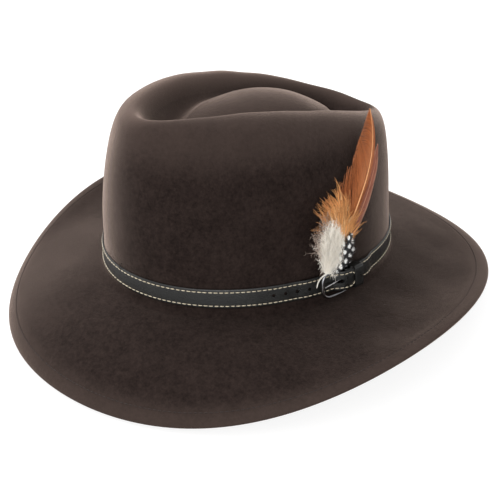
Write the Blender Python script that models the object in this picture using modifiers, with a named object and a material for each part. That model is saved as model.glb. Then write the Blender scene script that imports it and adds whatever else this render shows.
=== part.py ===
"""A brown felt fedora with a teardrop crown, a leather belt for a hat band and a feather mount.

Everything is laid out in the hat's own frame first: the crown stands over the origin, -Y is the front and
+X is the wearer's left, where the buckle and the feathers are. One empty then sets the hat down on its brim.
"""

import math

import bmesh
import bpy
from mathutils import Matrix, Vector

SLICES = 64  # stations round the hat; every ring shares them, so that neighbours keep an even gap
GAP = 0.0003  # clearance between pieces that touch on the real hat
THREAD_GAP = 0.0005  # the same for a straight thread on a curved face

# Felt: the crown's foot, the crest of the teardrop and the brim's edge, as half widths and offsets
FELT = 0.0016
FOOT_X, FOOT_Y = 0.0865, 0.1045
CREST_X, CREST_Y, CREST_BACK = 0.0437, 0.0928, 0.0079
CREST_TAPER = -0.20  # the crest is narrower in front, as a teardrop
BRIM_X, BRIM_Y, BRIM_FORWARD = 0.1612, 0.1667, 0.0042
# Heights, as cosine series round the hat: mean, front to back, sides, and smaller waves
FOOT_RISE = (0.0214, 0.0039, -0.0007)
CREST_RISE = (0.1210, 0.0166, -0.0055, -0.0008)
EDGE_RISE = (0.0073, -0.0126, -0.0129, 0.0036, 0.0021, 0.0005, -0.0002)
# Wall: how square its shoulder is and how much of its lean is a straight taper
SHOULDER = (2.80, -0.55)
WALL_TAPER = (0.21, -0.12, -0.10)
BREAK_RADIUS = 0.005  # where the crown turns into the brim
BREAK_SLOPE = -0.20
FOLD_RADIUS = 0.0025  # the brim's edge, turned under round its wire
FOLD_WIDTH = 0.0075
WIRE_RADIUS = 0.0005
FRONT_CONTACT = math.radians(24)  # where the drooping front of the brim meets a table
# Top of the crown: a raised island inside a sunk channel
ISLAND_PEAK, ISLAND_PEAK_Y = 0.1264, 0.0052
ISLAND_FALL_FRONT, ISLAND_FALL_BACK, ISLAND_FALL_SIDE = 3.4, 6.5, 9.7
ISLAND_SHARE = 0.60
CHANNEL_DEPTH = 0.009

# Hat band: one leather strap, 12.7 mm wide, buckled at the wearer's left
STRAP_WIDTH = 0.0127
STRAP_THICK = 0.0010
STRAP_ABOVE_FOOT = 0.0010
THREAD_RADIUS = 0.0003
SEAM_INSET = 0.0018
LAYER = STRAP_THICK + GAP
TACK_ANGLES = (0.0, math.radians(180), math.radians(270))
TACK_REACH = 0.0011

# Buckle, keeper and feathers are placed along the strap by the distance from the hat's side, positive to
# the back, by the distance out from the felt, and by the height from the strap's middle
BAR_ALONG, BAR_OUT = 0.0035, 0.0037
OUTER_BAR_ALONG, OUTER_BAR_OUT = -0.0170, 0.0051
FRAME_WIRE = 0.0009
FRAME_HALF = STRAP_WIDTH / 2 + 0.0008 + FRAME_WIRE
FRAME_CORNER = 0.0050
FRAME_ARCH = 0.0006
PRONG_RADIUS = 0.0006
KEEPER_FROM, KEEPER_TO = 0.0066, 0.0142
KEEPER_WALL = 0.0008
HOLE_RADIUS = 0.0011
HOLE_PITCH = 0.0080
HOLES = 4

# Sweatband
SWEAT_HEIGHT = 0.032
SWEAT_THICK = 0.0009
REED_RADIUS = 0.0008


def clear_scene():
    for obj in list(bpy.data.objects):
        bpy.data.objects.remove(obj, do_unlink=True)


def series(terms, angle):
    """A cosine series: 0 is the front, half a turn is the back."""
    return sum(term * math.cos(i * angle) for i, term in enumerate(terms))


def stations():
    return [2 * math.pi * i / SLICES for i in range(SLICES)]


# ---- the felt's surface ----


def foot(angle):
    """The foot of the crown's wall, on the outside of the felt."""
    return Vector((FOOT_X * math.sin(angle), -FOOT_Y * math.cos(angle), series(FOOT_RISE, angle)))


def outward(angle):
    """Straight out from the crown's foot, level."""
    return Vector((FOOT_Y * math.sin(angle), -FOOT_X * math.cos(angle), 0)).normalized()


def crest(angle):
    width = CREST_X * (1 + CREST_TAPER * math.cos(angle))
    y = -CREST_Y * math.cos(angle) + CREST_BACK
    return Vector((width * math.sin(angle), y, series(CREST_RISE, angle)))


def wall(angle, height):
    """The crown's wall, with height 0 at its foot and 1 at the crest."""
    power = series(SHOULDER, angle)
    taper = series(WALL_TAPER, angle)
    lean = taper * height + (1 - taper) * (1 - max(0.0, 1 - height**power) ** (1 / power))
    low, high = foot(angle), crest(angle)
    point = low.lerp(high, lean)
    point.z = low.z + (high.z - low.z) * height
    return point


def wall_above(angle, rise):
    """The wall at a height given in metres above its foot."""
    return wall(angle, rise / (crest(angle).z - foot(angle).z))


def brim_edge(angle):
    x, y = BRIM_X * math.sin(angle), -BRIM_Y * math.cos(angle) - BRIM_FORWARD
    return Vector((x, y, series(EDGE_RISE, angle)))


def brim(angle, share):
    """The brim's upper face, from the break (0) to its edge (1)."""
    turn = math.pi / 2 + math.atan(BREAK_SLOPE)
    start = foot(angle) + outward(angle) * BREAK_RADIUS * (1 - math.cos(turn))
    start.z -= BREAK_RADIUS * math.sin(turn)
    end = brim_edge(angle)
    width = (end - start).xy.length
    point = start.lerp(end, share)
    drop = BREAK_SLOPE * width
    point.z = start.z + drop * share + (end.z - start.z - drop) * share**2
    return point


def brim_frame(angle, share):
    """The brim's direction outwards and its upward normal there."""
    along = (brim(angle, share) - brim(angle, share - 0.02)).normalized()
    across = brim(angle + 0.01, share) - brim(angle - 0.01, share)
    return along, along.cross(across.normalized()).normalized()


def fold_share(angle, inset):
    return 1 - inset / (brim_edge(angle) - foot(angle)).xy.length


def crown_top(angle, share):
    """The top inside the crest, which is at share 1; the middle of the island is at share 0."""
    rim = crest(angle)
    x, y = rim.x * share, rim.y * share
    fall = ISLAND_FALL_FRONT if y < ISLAND_PEAK_Y else ISLAND_FALL_BACK
    island = ISLAND_PEAK - fall * (y - ISLAND_PEAK_Y) ** 2 - ISLAND_FALL_SIDE * x**2
    rise = max(0.0, (share - ISLAND_SHARE) / (1 - ISLAND_SHARE))
    blend = rise**2 * (3 - 2 * rise)
    channel = CHANNEL_DEPTH * math.sin(math.pi * rise**1.5)
    return Vector((x, y, island + (rim.z - island) * blend - channel))


# ---- making objects ----


def collection(name):
    found = bpy.data.collections.new(name)
    bpy.context.scene.collection.children.link(found)
    return found


def material(name, color, roughness, metallic=0.0):
    made = bpy.data.materials.new(name)
    made.use_nodes = True
    shader = made.node_tree.nodes["Principled BSDF"]
    shader.inputs["Base Color"].default_value = (*color, 1)
    shader.inputs["Roughness"].default_value = roughness
    shader.inputs["Metallic"].default_value = metallic
    return made


def place(obj, hat, finish):
    hat["parts"].objects.link(obj)
    obj.parent = hat["origin"]
    obj.data.materials.append(finish)
    return obj


def mesh_object(name, points, faces, hat, finish, pivot=None):
    """A mesh part. Its origin is the pivot, where it has one."""
    origin = Vector(pivot) if pivot else Vector((0, 0, 0))
    mesh = bpy.data.meshes.new(name)
    mesh.from_pydata([p - origin for p in points], [], faces)
    work = bmesh.new()
    work.from_mesh(mesh)
    bmesh.ops.remove_doubles(work, verts=work.verts, dist=1e-6)
    bmesh.ops.recalc_face_normals(work, faces=work.faces)
    work.to_mesh(mesh)
    work.free()
    mesh.shade_smooth()
    mesh.set_sharp_from_angle(angle=math.radians(40))
    obj = place(bpy.data.objects.new(name, mesh), hat, finish)
    obj.location = origin
    return obj


def ring_faces(rings, count, closed):
    steps = rings if closed else rings - 1
    faces = []
    for i in range(steps):
        for j in range(count):
            a, b = i * count, ((i + 1) % rings) * count
            k = (j + 1) % count
            faces.append((a + j, a + k, b + k, b + j))
    return faces


def loft(name, sections, hat, finish, closed=False, pivot=None):
    """A solid through sections that are closed loops of equally many points."""
    count = len(sections[0])
    faces = ring_faces(len(sections), count, closed)
    if not closed:
        faces.append(tuple(range(count)))
        faces.append(tuple(len(sections) * count - 1 - j for j in range(count)))
    points = [p for section in sections for p in section]
    return mesh_object(name, points, faces, hat, finish, pivot)


def wire(name, points, radius, hat, finish, closed=False, sides=4, pivot=None):
    """A round wire or thread along points."""
    origin = Vector(pivot) if pivot else Vector((0, 0, 0))
    curve = bpy.data.curves.new(name, "CURVE")
    curve.dimensions = "3D"
    curve.bevel_depth = radius
    curve.bevel_resolution = (sides - 4) // 2
    curve.use_fill_caps = True
    spline = curve.splines.new("POLY")
    spline.points.add(len(points) - 1)
    for knot, point in zip(spline.points, points):
        knot.co = (*(point - origin), 1)
    spline.use_cyclic_u = closed
    obj = place(bpy.data.objects.new(name, curve), hat, finish)
    obj.location = origin
    return obj


def cut(obj, cutters):
    for cutter in cutters:
        modifier = obj.modifiers.new(cutter.name, "BOOLEAN")
        modifier.operation = "DIFFERENCE"
        modifier.object = cutter


# ---- felt ----


def felt_rows(angle):
    """The outer surface of the felt at one station, from the turned-under edge to the crown's top."""
    rows = []
    last = fold_share(angle, FOLD_RADIUS)
    for inset in (FOLD_WIDTH, FOLD_WIDTH / 2):
        share = fold_share(angle, FOLD_RADIUS + inset)
        along, up = brim_frame(angle, share)
        rows.append(brim(angle, share) - up * 2 * FOLD_RADIUS)
    along, up = brim_frame(angle, last)
    centre = brim(angle, last) - up * FOLD_RADIUS
    for step in range(5):
        turn = math.pi * (1 - step / 4)
        rows.append(centre + FOLD_RADIUS * (along * math.sin(turn) + up * math.cos(turn)))
    rows += [brim(angle, share * last) for share in (0.85, 0.68, 0.5, 0.33, 0.16, 0.0)]
    for step in (2, 1, 0):
        turn = (math.pi / 2 + math.atan(BREAK_SLOPE)) * step / 3
        point = foot(angle) + outward(angle) * BREAK_RADIUS * (1 - math.cos(turn))
        point.z -= BREAK_RADIUS * math.sin(turn)
        rows.append(point)
    rows += [wall(angle, height) for height in (0.16, 0.36, 0.58, 0.76, 0.89, 0.965, 0.995)]
    rows += [crown_top(angle, share) for share in (0.985, 0.93, 0.86, 0.78, 0.68, 0.56, 0.42, 0.24)]
    return rows


def make_felt(hat, finish):
    columns = [felt_rows(angle) for angle in stations()]
    rows = len(columns[0])
    points = [columns[i][j] for j in range(rows) for i in range(SLICES)]
    faces = ring_faces(rows, SLICES, False)
    middle = len(points)
    points.append(crown_top(0.0, 0.0))
    top = (rows - 1) * SLICES
    faces += [(top + i, top + (i + 1) % SLICES, middle) for i in range(SLICES)]
    obj = mesh_object("felt_body", points, faces, hat, finish)
    skin = obj.modifiers.new("thickness", "SOLIDIFY")
    skin.thickness = FELT
    skin.offset = -1 if obj.data.polygons[-1].normal.z > 0 else 1
    skin.use_even_offset = True


def make_brim_edge(hat, metal, thread):
    wire_points, seam_points = [], []
    for angle in stations():
        share = fold_share(angle, FOLD_RADIUS)
        along, up = brim_frame(angle, share)
        wire_points.append(brim(angle, share) - up * FOLD_RADIUS)
        share = fold_share(angle, FOLD_WIDTH)
        along, up = brim_frame(angle, share)
        seam_points.append(brim(angle, share) + up * (THREAD_GAP + THREAD_RADIUS))
    wire("brim_wire", wire_points, WIRE_RADIUS, hat, metal, closed=True, sides=6)
    wire("brim_edge_stitching", seam_points, THREAD_RADIUS, hat, thread, closed=True)


# ---- sweatband ----


def inside(angle, rise, depth):
    """A point inside the crown, at a depth from the wall's outer face."""
    return wall_above(angle, rise) - outward(angle) * depth


def make_sweatband(hat, leather, thread, ribbon):
    outer = FELT + THREAD_GAP
    rises = (0.0, SWEAT_HEIGHT / 3, SWEAT_HEIGHT * 2 / 3, SWEAT_HEIGHT)
    sections = []
    for angle in stations():
        section = [inside(angle, rise, outer) for rise in rises]
        section += [inside(angle, rise, outer + SWEAT_THICK) for rise in reversed(rises)]
        sections.append(section)
    loft("sweatband", sections, hat, leather, closed=True)
    depth = outer + SWEAT_THICK
    reed_depth = FELT + THREAD_GAP + REED_RADIUS
    reed = [inside(a, 0, reed_depth) - Vector((0, 0, REED_RADIUS + GAP)) for a in stations()]
    wire("sweatband_reed", reed, REED_RADIUS, hat, leather, closed=True, sides=6)
    seam = [inside(a, 0.003, depth + GAP + THREAD_RADIUS) for a in stations()]
    wire("sweatband_stitching", seam, THREAD_RADIUS, hat, thread, closed=True)
    make_bow(depth, hat, ribbon)
    make_size_tab(depth, hat, ribbon)


def make_bow(depth, hat, ribbon):
    """The little bow at the back of the sweatband, one cord tied in a figure of eight."""
    back = inside(math.pi, 0.010, depth)
    points = []
    for step in range(24):
        turn = 2 * math.pi * step / 24
        x, z = 0.0075 * math.sin(turn), 0.0035 * math.sin(2 * turn)
        points.append(back + Vector((x, -0.0022 + 0.0009 * math.cos(turn), z)))
    wire("sweatband_bow", points, 0.0005, hat, ribbon, closed=True)


def make_size_tab(depth, hat, ribbon):
    """A blank fabric tab tucked against the sweatband, behind the bow's side."""
    angle = math.radians(205)
    inner = outward(angle) * -1
    across = Vector((0, 0, 1)).cross(inner).normalized()
    middle = inside(angle, 0.020, depth + 2 * THREAD_GAP + GAP)
    corners = []
    for thick in (-0.0002, 0.0002):
        for x, z in ((-1, -1), (1, -1), (1, 1), (-1, 1)):
            corners.append(middle + inner * thick + across * 0.006 * x + Vector((0, 0, 0.008 * z)))
    loft("size_tab", [corners[:4], corners[4:]], hat, ribbon)


# ---- hat band ----


def strap_frame(angle):
    """The strap's middle line on the felt, with its directions along, out and up."""
    low = wall_above(angle, STRAP_ABOVE_FOOT)
    high = wall_above(angle, STRAP_ABOVE_FOOT + STRAP_WIDTH)
    up = (high - low).normalized()
    ahead = wall_above(angle + 0.01, STRAP_ABOVE_FOOT) - wall_above(angle - 0.01, STRAP_ABOVE_FOOT)
    out = ahead.cross(up).normalized()
    return (low + high) / 2, up.cross(out).normalized(), out, up


def side_angle(along):
    """The station at a distance along the strap from the hat's left side."""
    return math.pi / 2 + along / (FOOT_Y + 0.001)


def on_strap(along, out, up):
    """A point by its distance along the strap, out from the felt and up from the strap's middle."""
    middle, ahead, outer, upward = strap_frame(side_angle(along))
    return middle + outer * out + upward * up


def lerp_table(table, x):
    """A smooth curve through (x, value) pairs, level at each pair."""
    if x <= table[0][0]:
        return table[0][1]
    for (x0, y0), (x1, y1) in zip(table, table[1:]):
        if x <= x1:
            t = (x - x0) / (x1 - x0)
            return y0 + (y1 - y0) * t * t * (3 - 2 * t)
    return table[-1][1]


# Height of the strap's layers off the felt, by the distance along: the free end runs under the outer bar,
# up over the hinge bar and into the keeper; the fixed end folds round the hinge bar
LOW = GAP + STRAP_THICK / 2
STEM_LIFT = 0.0021
FOLD_LOW = 0.0019
FOLD_TURN = FRAME_WIRE + GAP + 0.0001 + STRAP_THICK / 2
FREE_END = (
    (-0.036, LOW),
    (-0.024, STEM_LIFT),
    (-0.0085, STEM_LIFT),
    (0.0005, 0.0069),
    (0.0045, 0.0072),
    (0.0105, 0.0060),
)
TIP_END = 0.0092
FIXED_END = (
    (BAR_ALONG, BAR_OUT + FOLD_TURN),
    (0.0100, FOLD_LOW + LAYER),
    (0.0230, FOLD_LOW + LAYER),
    (0.0360, LOW),
)
FOLD_END = 0.0220
LIFTED_END = 0.0400  # past this distance either way, the strap lies on the felt
FOLD_STRAIGHT = 0.0008  # the fold's straight run past the bar's middle
TIP_ROUND = 0.0060  # length of the strap's rounded tip
SEAM_STARTS = (0.0165, 0.021, 0.0255, 0.031, 0.036)  # the seams show from behind the keeper
SEAM_END = 0.0052
# The holes: one for the prong where it comes up through the free end, one in the fold for the prong's hook,
# and a row of punched holes in front of the buckle
PRONG_HOLE_ALONG, PRONG_HOLE_OUT, PRONG_HOLE_LENGTH, PRONG_HOLE_WIDTH = -0.0040, 0.0052, 0.0060, 0.0024
FOLD_SLOT_OUT, FOLD_SLOT_LENGTH = 0.0034, 0.0070
SLOT_DEPTH, FOLD_SLOT_DEPTH = 0.0044, 0.0056
FIRST_HOLE = -0.0250


def fixed_end_path():
    """(along, out, half width) down the fixed end: its folded tail, the turn round the bar, the way back."""
    path = []
    bend = BAR_ALONG + FOLD_STRAIGHT
    for step in range(5):
        path.append((FOLD_END + (bend - FOLD_END) * step / 4, FOLD_LOW, STRAP_WIDTH / 2))
    for step in range(1, 7):
        turn = math.pi * step / 7
        along = BAR_ALONG - FOLD_TURN * math.sin(turn)
        path.append((along, BAR_OUT - FOLD_TURN * math.cos(turn), STRAP_WIDTH / 2))
    steps = 11
    for step in range(steps):
        along = bend + (LIFTED_END - bend) * step / steps
        path.append((along, lerp_table(FIXED_END, along), STRAP_WIDTH / 2))
    return path


def round_the_hat():
    """The stations that the single strap passes between its two lifted ends."""
    start, end = side_angle(LIFTED_END), side_angle(-LIFTED_END) + 2 * math.pi
    return [a + turn for turn in (0, 2 * math.pi) for a in stations() if start < a + turn < end]


def free_end_path():
    """(along, out, half width) down the free end to its rounded tip."""
    steps = 26
    path = []
    for step in range(steps + 1):
        along = -LIFTED_END + (TIP_END + LIFTED_END) * step / steps
        into_tip = max(0.0, along - (TIP_END - TIP_ROUND)) / TIP_ROUND
        half = STRAP_WIDTH / 2 * math.sqrt(max(0.02, 1 - into_tip**2))
        path.append((along, lerp_table(FREE_END, along), half))
    return path


def strap_section(before, here, after, up, half):
    """A flat section across the strap, square to its path."""
    ahead = (after - before).normalized()
    normal = ahead.cross(up).normalized() * (STRAP_THICK / 2)
    rise = up * half
    return [here + normal + rise, here + normal - rise, here - normal - rise, here - normal + rise]


def strap_line():
    """Middle points down the whole strap, with the strap's up direction and half width at each."""
    line = []
    for along, out, half in fixed_end_path():
        line.append((on_strap(along, out, 0), strap_frame(side_angle(along))[3], half))
    for angle in round_the_hat():
        middle, ahead, outer, up = strap_frame(angle)
        line.append((middle + outer * LOW, up, STRAP_WIDTH / 2))
    for along, out, half in free_end_path():
        line.append((on_strap(along, out, 0), strap_frame(side_angle(along))[3], half))
    return line


def make_strap(hat, leather):
    line = strap_line()
    sections = []
    for i, (here, up, half) in enumerate(line):
        before = line[max(0, i - 1)][0]
        after = line[min(len(line) - 1, i + 1)][0]
        sections.append(strap_section(before, here, after, up, half))
    strap = loft("hat_band_strap", sections, hat, leather)
    slot = (PRONG_HOLE_ALONG, PRONG_HOLE_OUT, PRONG_HOLE_LENGTH, PRONG_HOLE_WIDTH, SLOT_DEPTH)
    cutters = [slot_cutter("prong_slot", *slot, hat)]
    slot = (BAR_ALONG, FOLD_SLOT_OUT, FOLD_SLOT_LENGTH, PRONG_HOLE_WIDTH, FOLD_SLOT_DEPTH)
    cutters.append(slot_cutter("fold_slot", *slot, hat))
    for i in range(HOLES):
        hole = (FIRST_HOLE - HOLE_PITCH * i, LOW, 2 * HOLE_RADIUS, 2 * HOLE_RADIUS, SLOT_DEPTH)
        cutters.append(slot_cutter(f"punch_{i + 1}", *hole, hat))
    cut(strap, cutters)


def slot_cutter(name, along, out, length, width, depth, hat):
    """A round-ended cutter that goes straight out through the strap."""
    bpy.ops.mesh.primitive_cylinder_add(vertices=12, radius=width / 2, depth=depth)
    obj = bpy.context.object
    obj.name = name
    for vertex in obj.data.vertices:
        vertex.co.x += math.copysign((length - width) / 2, vertex.co.x)
    for owner in list(obj.users_collection):
        owner.objects.unlink(obj)
    hat["cutters"].objects.link(obj)
    middle, ahead, outer, up = strap_frame(side_angle(along))
    turn = Matrix((ahead, outer.cross(ahead), outer)).transposed()
    obj.matrix_world = Matrix.Translation(middle + outer * out) @ turn.to_4x4()
    obj.parent = hat["origin"]
    obj.hide_render = True
    obj.display_type = "WIRE"
    return obj


def make_strap_stitching(hat, thread):
    """One row near each edge of the strap, on its outer face."""
    proud = STRAP_THICK / 2 + THREAD_GAP + THREAD_RADIUS
    edge = STRAP_WIDTH / 2 - SEAM_INSET
    for name, side in (("strap_stitching_upper", 1), ("strap_stitching_lower", -1)):
        points = []
        for along in SEAM_STARTS:
            points.append(on_strap(along, lerp_table(FIXED_END, along) + proud, edge * side))
        for angle in round_the_hat():
            middle, ahead, outer, up = strap_frame(angle)
            points.append(middle + outer * (LOW + proud) + up * edge * side)
        for along, out, half in free_end_path():
            if along < SEAM_END:
                points.append(on_strap(along, out + proud, edge * side))
        wire(name, points, THREAD_RADIUS, hat, thread)


def make_tacks(hat, thread):
    """Thread tacks that hold the strap's upper edge to the felt."""
    for i, angle in enumerate(TACK_ANGLES):
        middle, ahead, outer, up = strap_frame(angle)
        edge = middle + up * (STRAP_WIDTH / 2)
        low = edge + outer * (GAP * 2 + STRAP_THICK + THREAD_RADIUS) - up * TACK_REACH
        bend = low + up * (TACK_REACH + GAP + THREAD_RADIUS)
        high = edge + outer * (GAP + THREAD_RADIUS) + up * (2 * TACK_REACH + GAP)
        wire(f"band_tack_{i + 1}", [low, bend, high], THREAD_RADIUS, hat, thread)


# ---- buckle and keeper ----


def make_buckle(hat, metal):
    middle, ahead, outer, up = strap_frame(side_angle(BAR_ALONG))
    pivot = middle + outer * BAR_OUT
    span = BAR_ALONG - OUTER_BAR_ALONG
    rise = OUTER_BAR_OUT - BAR_OUT

    def point(along, height):
        """On the frame's own curve, which arches off the strap towards the outer bar."""
        share = along / span
        arch = FRAME_ARCH * math.sin(math.pi * share)
        return on_strap(BAR_ALONG - along, BAR_OUT + rise * share + arch, 0) + up * height

    half = [(0, FRAME_HALF), (span * 0.35, FRAME_HALF)]
    for step in range(5):
        turn = math.pi / 2 * step / 4
        along = span - FRAME_CORNER * (1 - math.sin(turn))
        half.append((along, FRAME_HALF - FRAME_CORNER * (1 - math.cos(turn))))
    outline = [point(along, -height) for along, height in half]
    outline += [point(along, height) for along, height in reversed(half)]
    loft("buckle_frame", frame_sections(outline), hat, metal, closed=True, pivot=pivot)
    make_prong(pivot, point, up, hat, metal)


def frame_sections(outline):
    """Round sections along a closed loop, the hinge bar included."""
    sections = []
    count = len(outline)
    for i, here in enumerate(outline):
        ahead = (outline[(i + 1) % count] - outline[i - 1]).normalized()
        flat = Vector((1, 0, 0)) if abs(ahead.x) < 0.9 else Vector((0, 1, 0))
        first = ahead.cross(flat).normalized()
        second = ahead.cross(first).normalized()
        radius = FRAME_WIRE
        ring = []
        for step in range(8):
            turn = 2 * math.pi * step / 8
            ring.append(here + radius * (first * math.cos(turn) + second * math.sin(turn)))
        sections.append(ring)
    return sections


def make_prong(pivot, point, up, hat, metal):
    """An open hook round the hinge bar, and a tongue whose tip lies on the outer bar."""
    grip = FRAME_WIRE + GAP + PRONG_RADIUS
    tip = point(BAR_ALONG - OUTER_BAR_ALONG, 0) + strap_frame(side_angle(OUTER_BAR_ALONG))[2] * grip
    towards = (tip - pivot).normalized()
    side = towards.cross(up).normalized()
    points = []
    for step in range(10):
        turn = math.radians(330 - 285 * step / 9)
        points.append(pivot + grip * (side * math.cos(turn) + towards * math.sin(turn)))
    shoulder = points[-1]
    for share in (0.25, 0.5, 0.75, 0.97):
        points.append(shoulder.lerp(tip, share))
    wire("buckle_prong", points, PRONG_RADIUS, hat, metal, sides=6, pivot=pivot)


def make_keeper(hat, leather):
    """A leather loop round both layers of the strap and its free end."""
    low = FOLD_LOW - STRAP_THICK / 2 - GAP
    high = lerp_table(FREE_END, KEEPER_FROM) + STRAP_THICK / 2 + GAP
    half = STRAP_WIDTH / 2 + GAP
    corners = ((0, -1), (1, -1), (1, 1), (0, 1))
    loops = []
    for step in range(5):
        along = KEEPER_FROM + (KEEPER_TO - KEEPER_FROM) * step / 4
        loop = []
        for thick in (KEEPER_WALL, 0):
            for outer, upper in corners:
                out = high + thick if outer else low - thick
                loop.append(on_strap(along, out, (half + thick) * upper))
        loops.append(loop)
    points = [p for loop in loops for p in loop]
    faces = []
    for i in range(len(loops) - 1):
        a, b = i * 8, (i + 1) * 8
        for j in range(4):
            k = (j + 1) % 4
            faces.append((a + j, a + k, b + k, b + j))
            faces.append((a + 4 + k, a + 4 + j, b + 4 + j, b + 4 + k))
    for start in (0, (len(loops) - 1) * 8):
        for j in range(4):
            k = (j + 1) % 4
            faces.append((start + j, start + k, start + 4 + k, start + 4 + j))
    middle = on_strap((KEEPER_FROM + KEEPER_TO) / 2, low, 0)
    mesh_object("keeper_loop", points, faces, hat, leather, pivot=middle)


# ---- feathers ----

# The feathers lie in a slanted plane just off the crown's left wall: its origin, the direction the feathers
# point, the direction across them towards the back, and the direction out from the wall
STEM_ALONG = -0.0140
QUILL_RADIUS = 0.0006
FEATHER_ORIGIN = Vector((0.0905, -0.0166, 0.0414))
FEATHER_ALONG = Vector((-0.275, 0.562, 0.780)).normalized()
FEATHER_OUT = Vector((0.961, 0.196, 0.197)).normalized()
FEATHER_SIDE = FEATHER_ALONG.cross(FEATHER_OUT).normalized()
FEATHER_LEAN, FEATHER_DROP = 1.22, 0.19  # how far each layer lies forward and down for its distance out


def at_feather(along, side, out):
    """A place in the feathers' plane. Layers that stand further out also lie further forward."""
    along, side = along - FEATHER_DROP * out, side - FEATHER_LEAN * out
    return FEATHER_ORIGIN + FEATHER_ALONG * along + FEATHER_SIDE * side + FEATHER_OUT * out


def blade(name, spine, hat, finish, thick=0.0007):
    """A feather's solid. The spine lists (along, side, out, left width, right width)."""
    sections = []
    for along, side, out, left, right in spine:
        edge = thick * 0.3
        sections.append([
            at_feather(along, side - left, out + edge),
            at_feather(along, side, out + thick),
            at_feather(along, side + right, out + edge),
            at_feather(along, side + right, out - edge),
            at_feather(along, side, out - thick),
            at_feather(along, side - left, out - edge),
        ])
    loft(name, sections, hat, finish)


def make_feathers(hat, slots):
    blade("feather_large", [
        (0.010, 0.0060, 0.0050, 0.0012, 0.0012),
        (0.024, 0.0085, 0.0052, 0.0060, 0.0030),
        (0.040, 0.0130, 0.0056, 0.0170, 0.0045),
        (0.055, 0.0160, 0.0060, 0.0210, 0.0040),
        (0.070, 0.0160, 0.0064, 0.0205, 0.0035),
        (0.083, 0.0120, 0.0068, 0.0165, 0.0040),
        (0.095, 0.0050, 0.0074, 0.0085, 0.0030),
        (0.104, 0.0000, 0.0080, 0.0008, 0.0008),
    ], hat, slots["feather_orange"])
    blade("feather_rear", [
        (0.010, 0.0090, 0.0022, 0.0010, 0.0010),
        (0.030, 0.0190, 0.0024, 0.0040, 0.0040),
        (0.050, 0.0260, 0.0026, 0.0060, 0.0050),
        (0.070, 0.0280, 0.0030, 0.0060, 0.0045),
        (0.083, 0.0270, 0.0034, 0.0045, 0.0030),
        (0.092, 0.0250, 0.0038, 0.0008, 0.0008),
    ], hat, slots["feather_brown"])
    blade("feather_hackle", [
        (0.008, 0.0000, 0.0084, 0.0030, 0.0030),
        (0.016, -0.0030, 0.0084, 0.0160, 0.0090),
        (0.028, -0.0020, 0.0086, 0.0200, 0.0170),
        (0.038, -0.0030, 0.0086, 0.0190, 0.0160),
        (0.050, -0.0060, 0.0086, 0.0090, 0.0100),
        (0.058, -0.0040, 0.0088, 0.0012, 0.0012),
    ], hat, slots["feather_gold"], thick=0.0010)
    blade("marabou_plume", [
        (-0.002, -0.0060, 0.0120, 0.0030, 0.0030),
        (0.003, -0.0110, 0.0135, 0.0120, 0.0080),
        (0.010, -0.0130, 0.0138, 0.0120, 0.0110),
        (0.018, -0.0110, 0.0138, 0.0110, 0.0100),
        (0.025, -0.0080, 0.0130, 0.0080, 0.0070),
        (0.031, -0.0070, 0.0135, 0.0020, 0.0020),
    ], hat, slots["feather_cream"], thick=0.0030)
    blade("guinea_feather", [
        (0.005, 0.0050, 0.0115, 0.0015, 0.0015),
        (0.010, 0.0080, 0.0118, 0.0050, 0.0060),
        (0.017, 0.0100, 0.0120, 0.0068, 0.0080),
        (0.024, 0.0100, 0.0118, 0.0070, 0.0060),
        (0.030, 0.0090, 0.0112, 0.0015, 0.0015),
    ], hat, slots["feather_spotted"])


def make_feather_stem(hat, slots):
    """The bound quills: a flat tail tucked behind the strap, a wrapped knot above it, and one loose quill."""
    middle, ahead, outer, up = strap_frame(side_angle(STEM_ALONG))
    top = STRAP_WIDTH / 2
    tail = []
    for height, out, half, thick in (
        (-0.0040, 0.0008, 0.0015, 0.0004),
        (0.0, 0.0008, 0.0022, 0.0005),
        (top, 0.0008, 0.0024, 0.0005),
        (top + 0.0012, 0.0011, 0.0024, 0.0007),
        (top + 0.0035, 0.0030, 0.0026, 0.0022),
        (top + 0.0060, 0.0050, 0.0028, 0.0030),
        (top + 0.0085, 0.0066, 0.0024, 0.0024),
    ):
        centre = middle + outer * out + up * height
        tail.append([
            centre + ahead * half + outer * thick * 0.5,
            centre + outer * thick,
            centre - ahead * half + outer * thick * 0.5,
            centre - ahead * half - outer * thick * 0.5,
            centre - outer * thick,
            centre + ahead * half - outer * thick * 0.5,
        ])
    loft("feather_stem", tail, hat, slots["feather_thread"], pivot=middle)
    loose = [
        on_strap(-0.0165, 0.0125, 0.0135),
        on_strap(-0.0180, 0.0100, 0.0108),
        on_strap(-0.0196, 0.0072, 0.0078),
        on_strap(-0.0208, 0.0056, 0.0042),
        on_strap(-0.0214, 0.0050, 0.0005),
    ]
    wire("marabou_quill", loose, QUILL_RADIUS, hat, slots["quill"], sides=6, pivot=middle)


def hat_rest():
    """Sets the hat down on its brim, which touches at both front corners and at the back."""
    front, back = brim_edge(FRONT_CONTACT), brim_edge(math.pi)
    tilt = -math.atan2(back.z - front.z, back.y - front.y)
    turn = Matrix.Rotation(tilt, 4, "X")
    edge = [turn @ point for angle in stations() for point in felt_rows(angle)[:8]]
    lowest = min(point.z for point in edge)
    middle = (min(point.y for point in edge) + max(point.y for point in edge)) / 2
    return Matrix.Translation((0, -middle, -lowest)) @ turn


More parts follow.
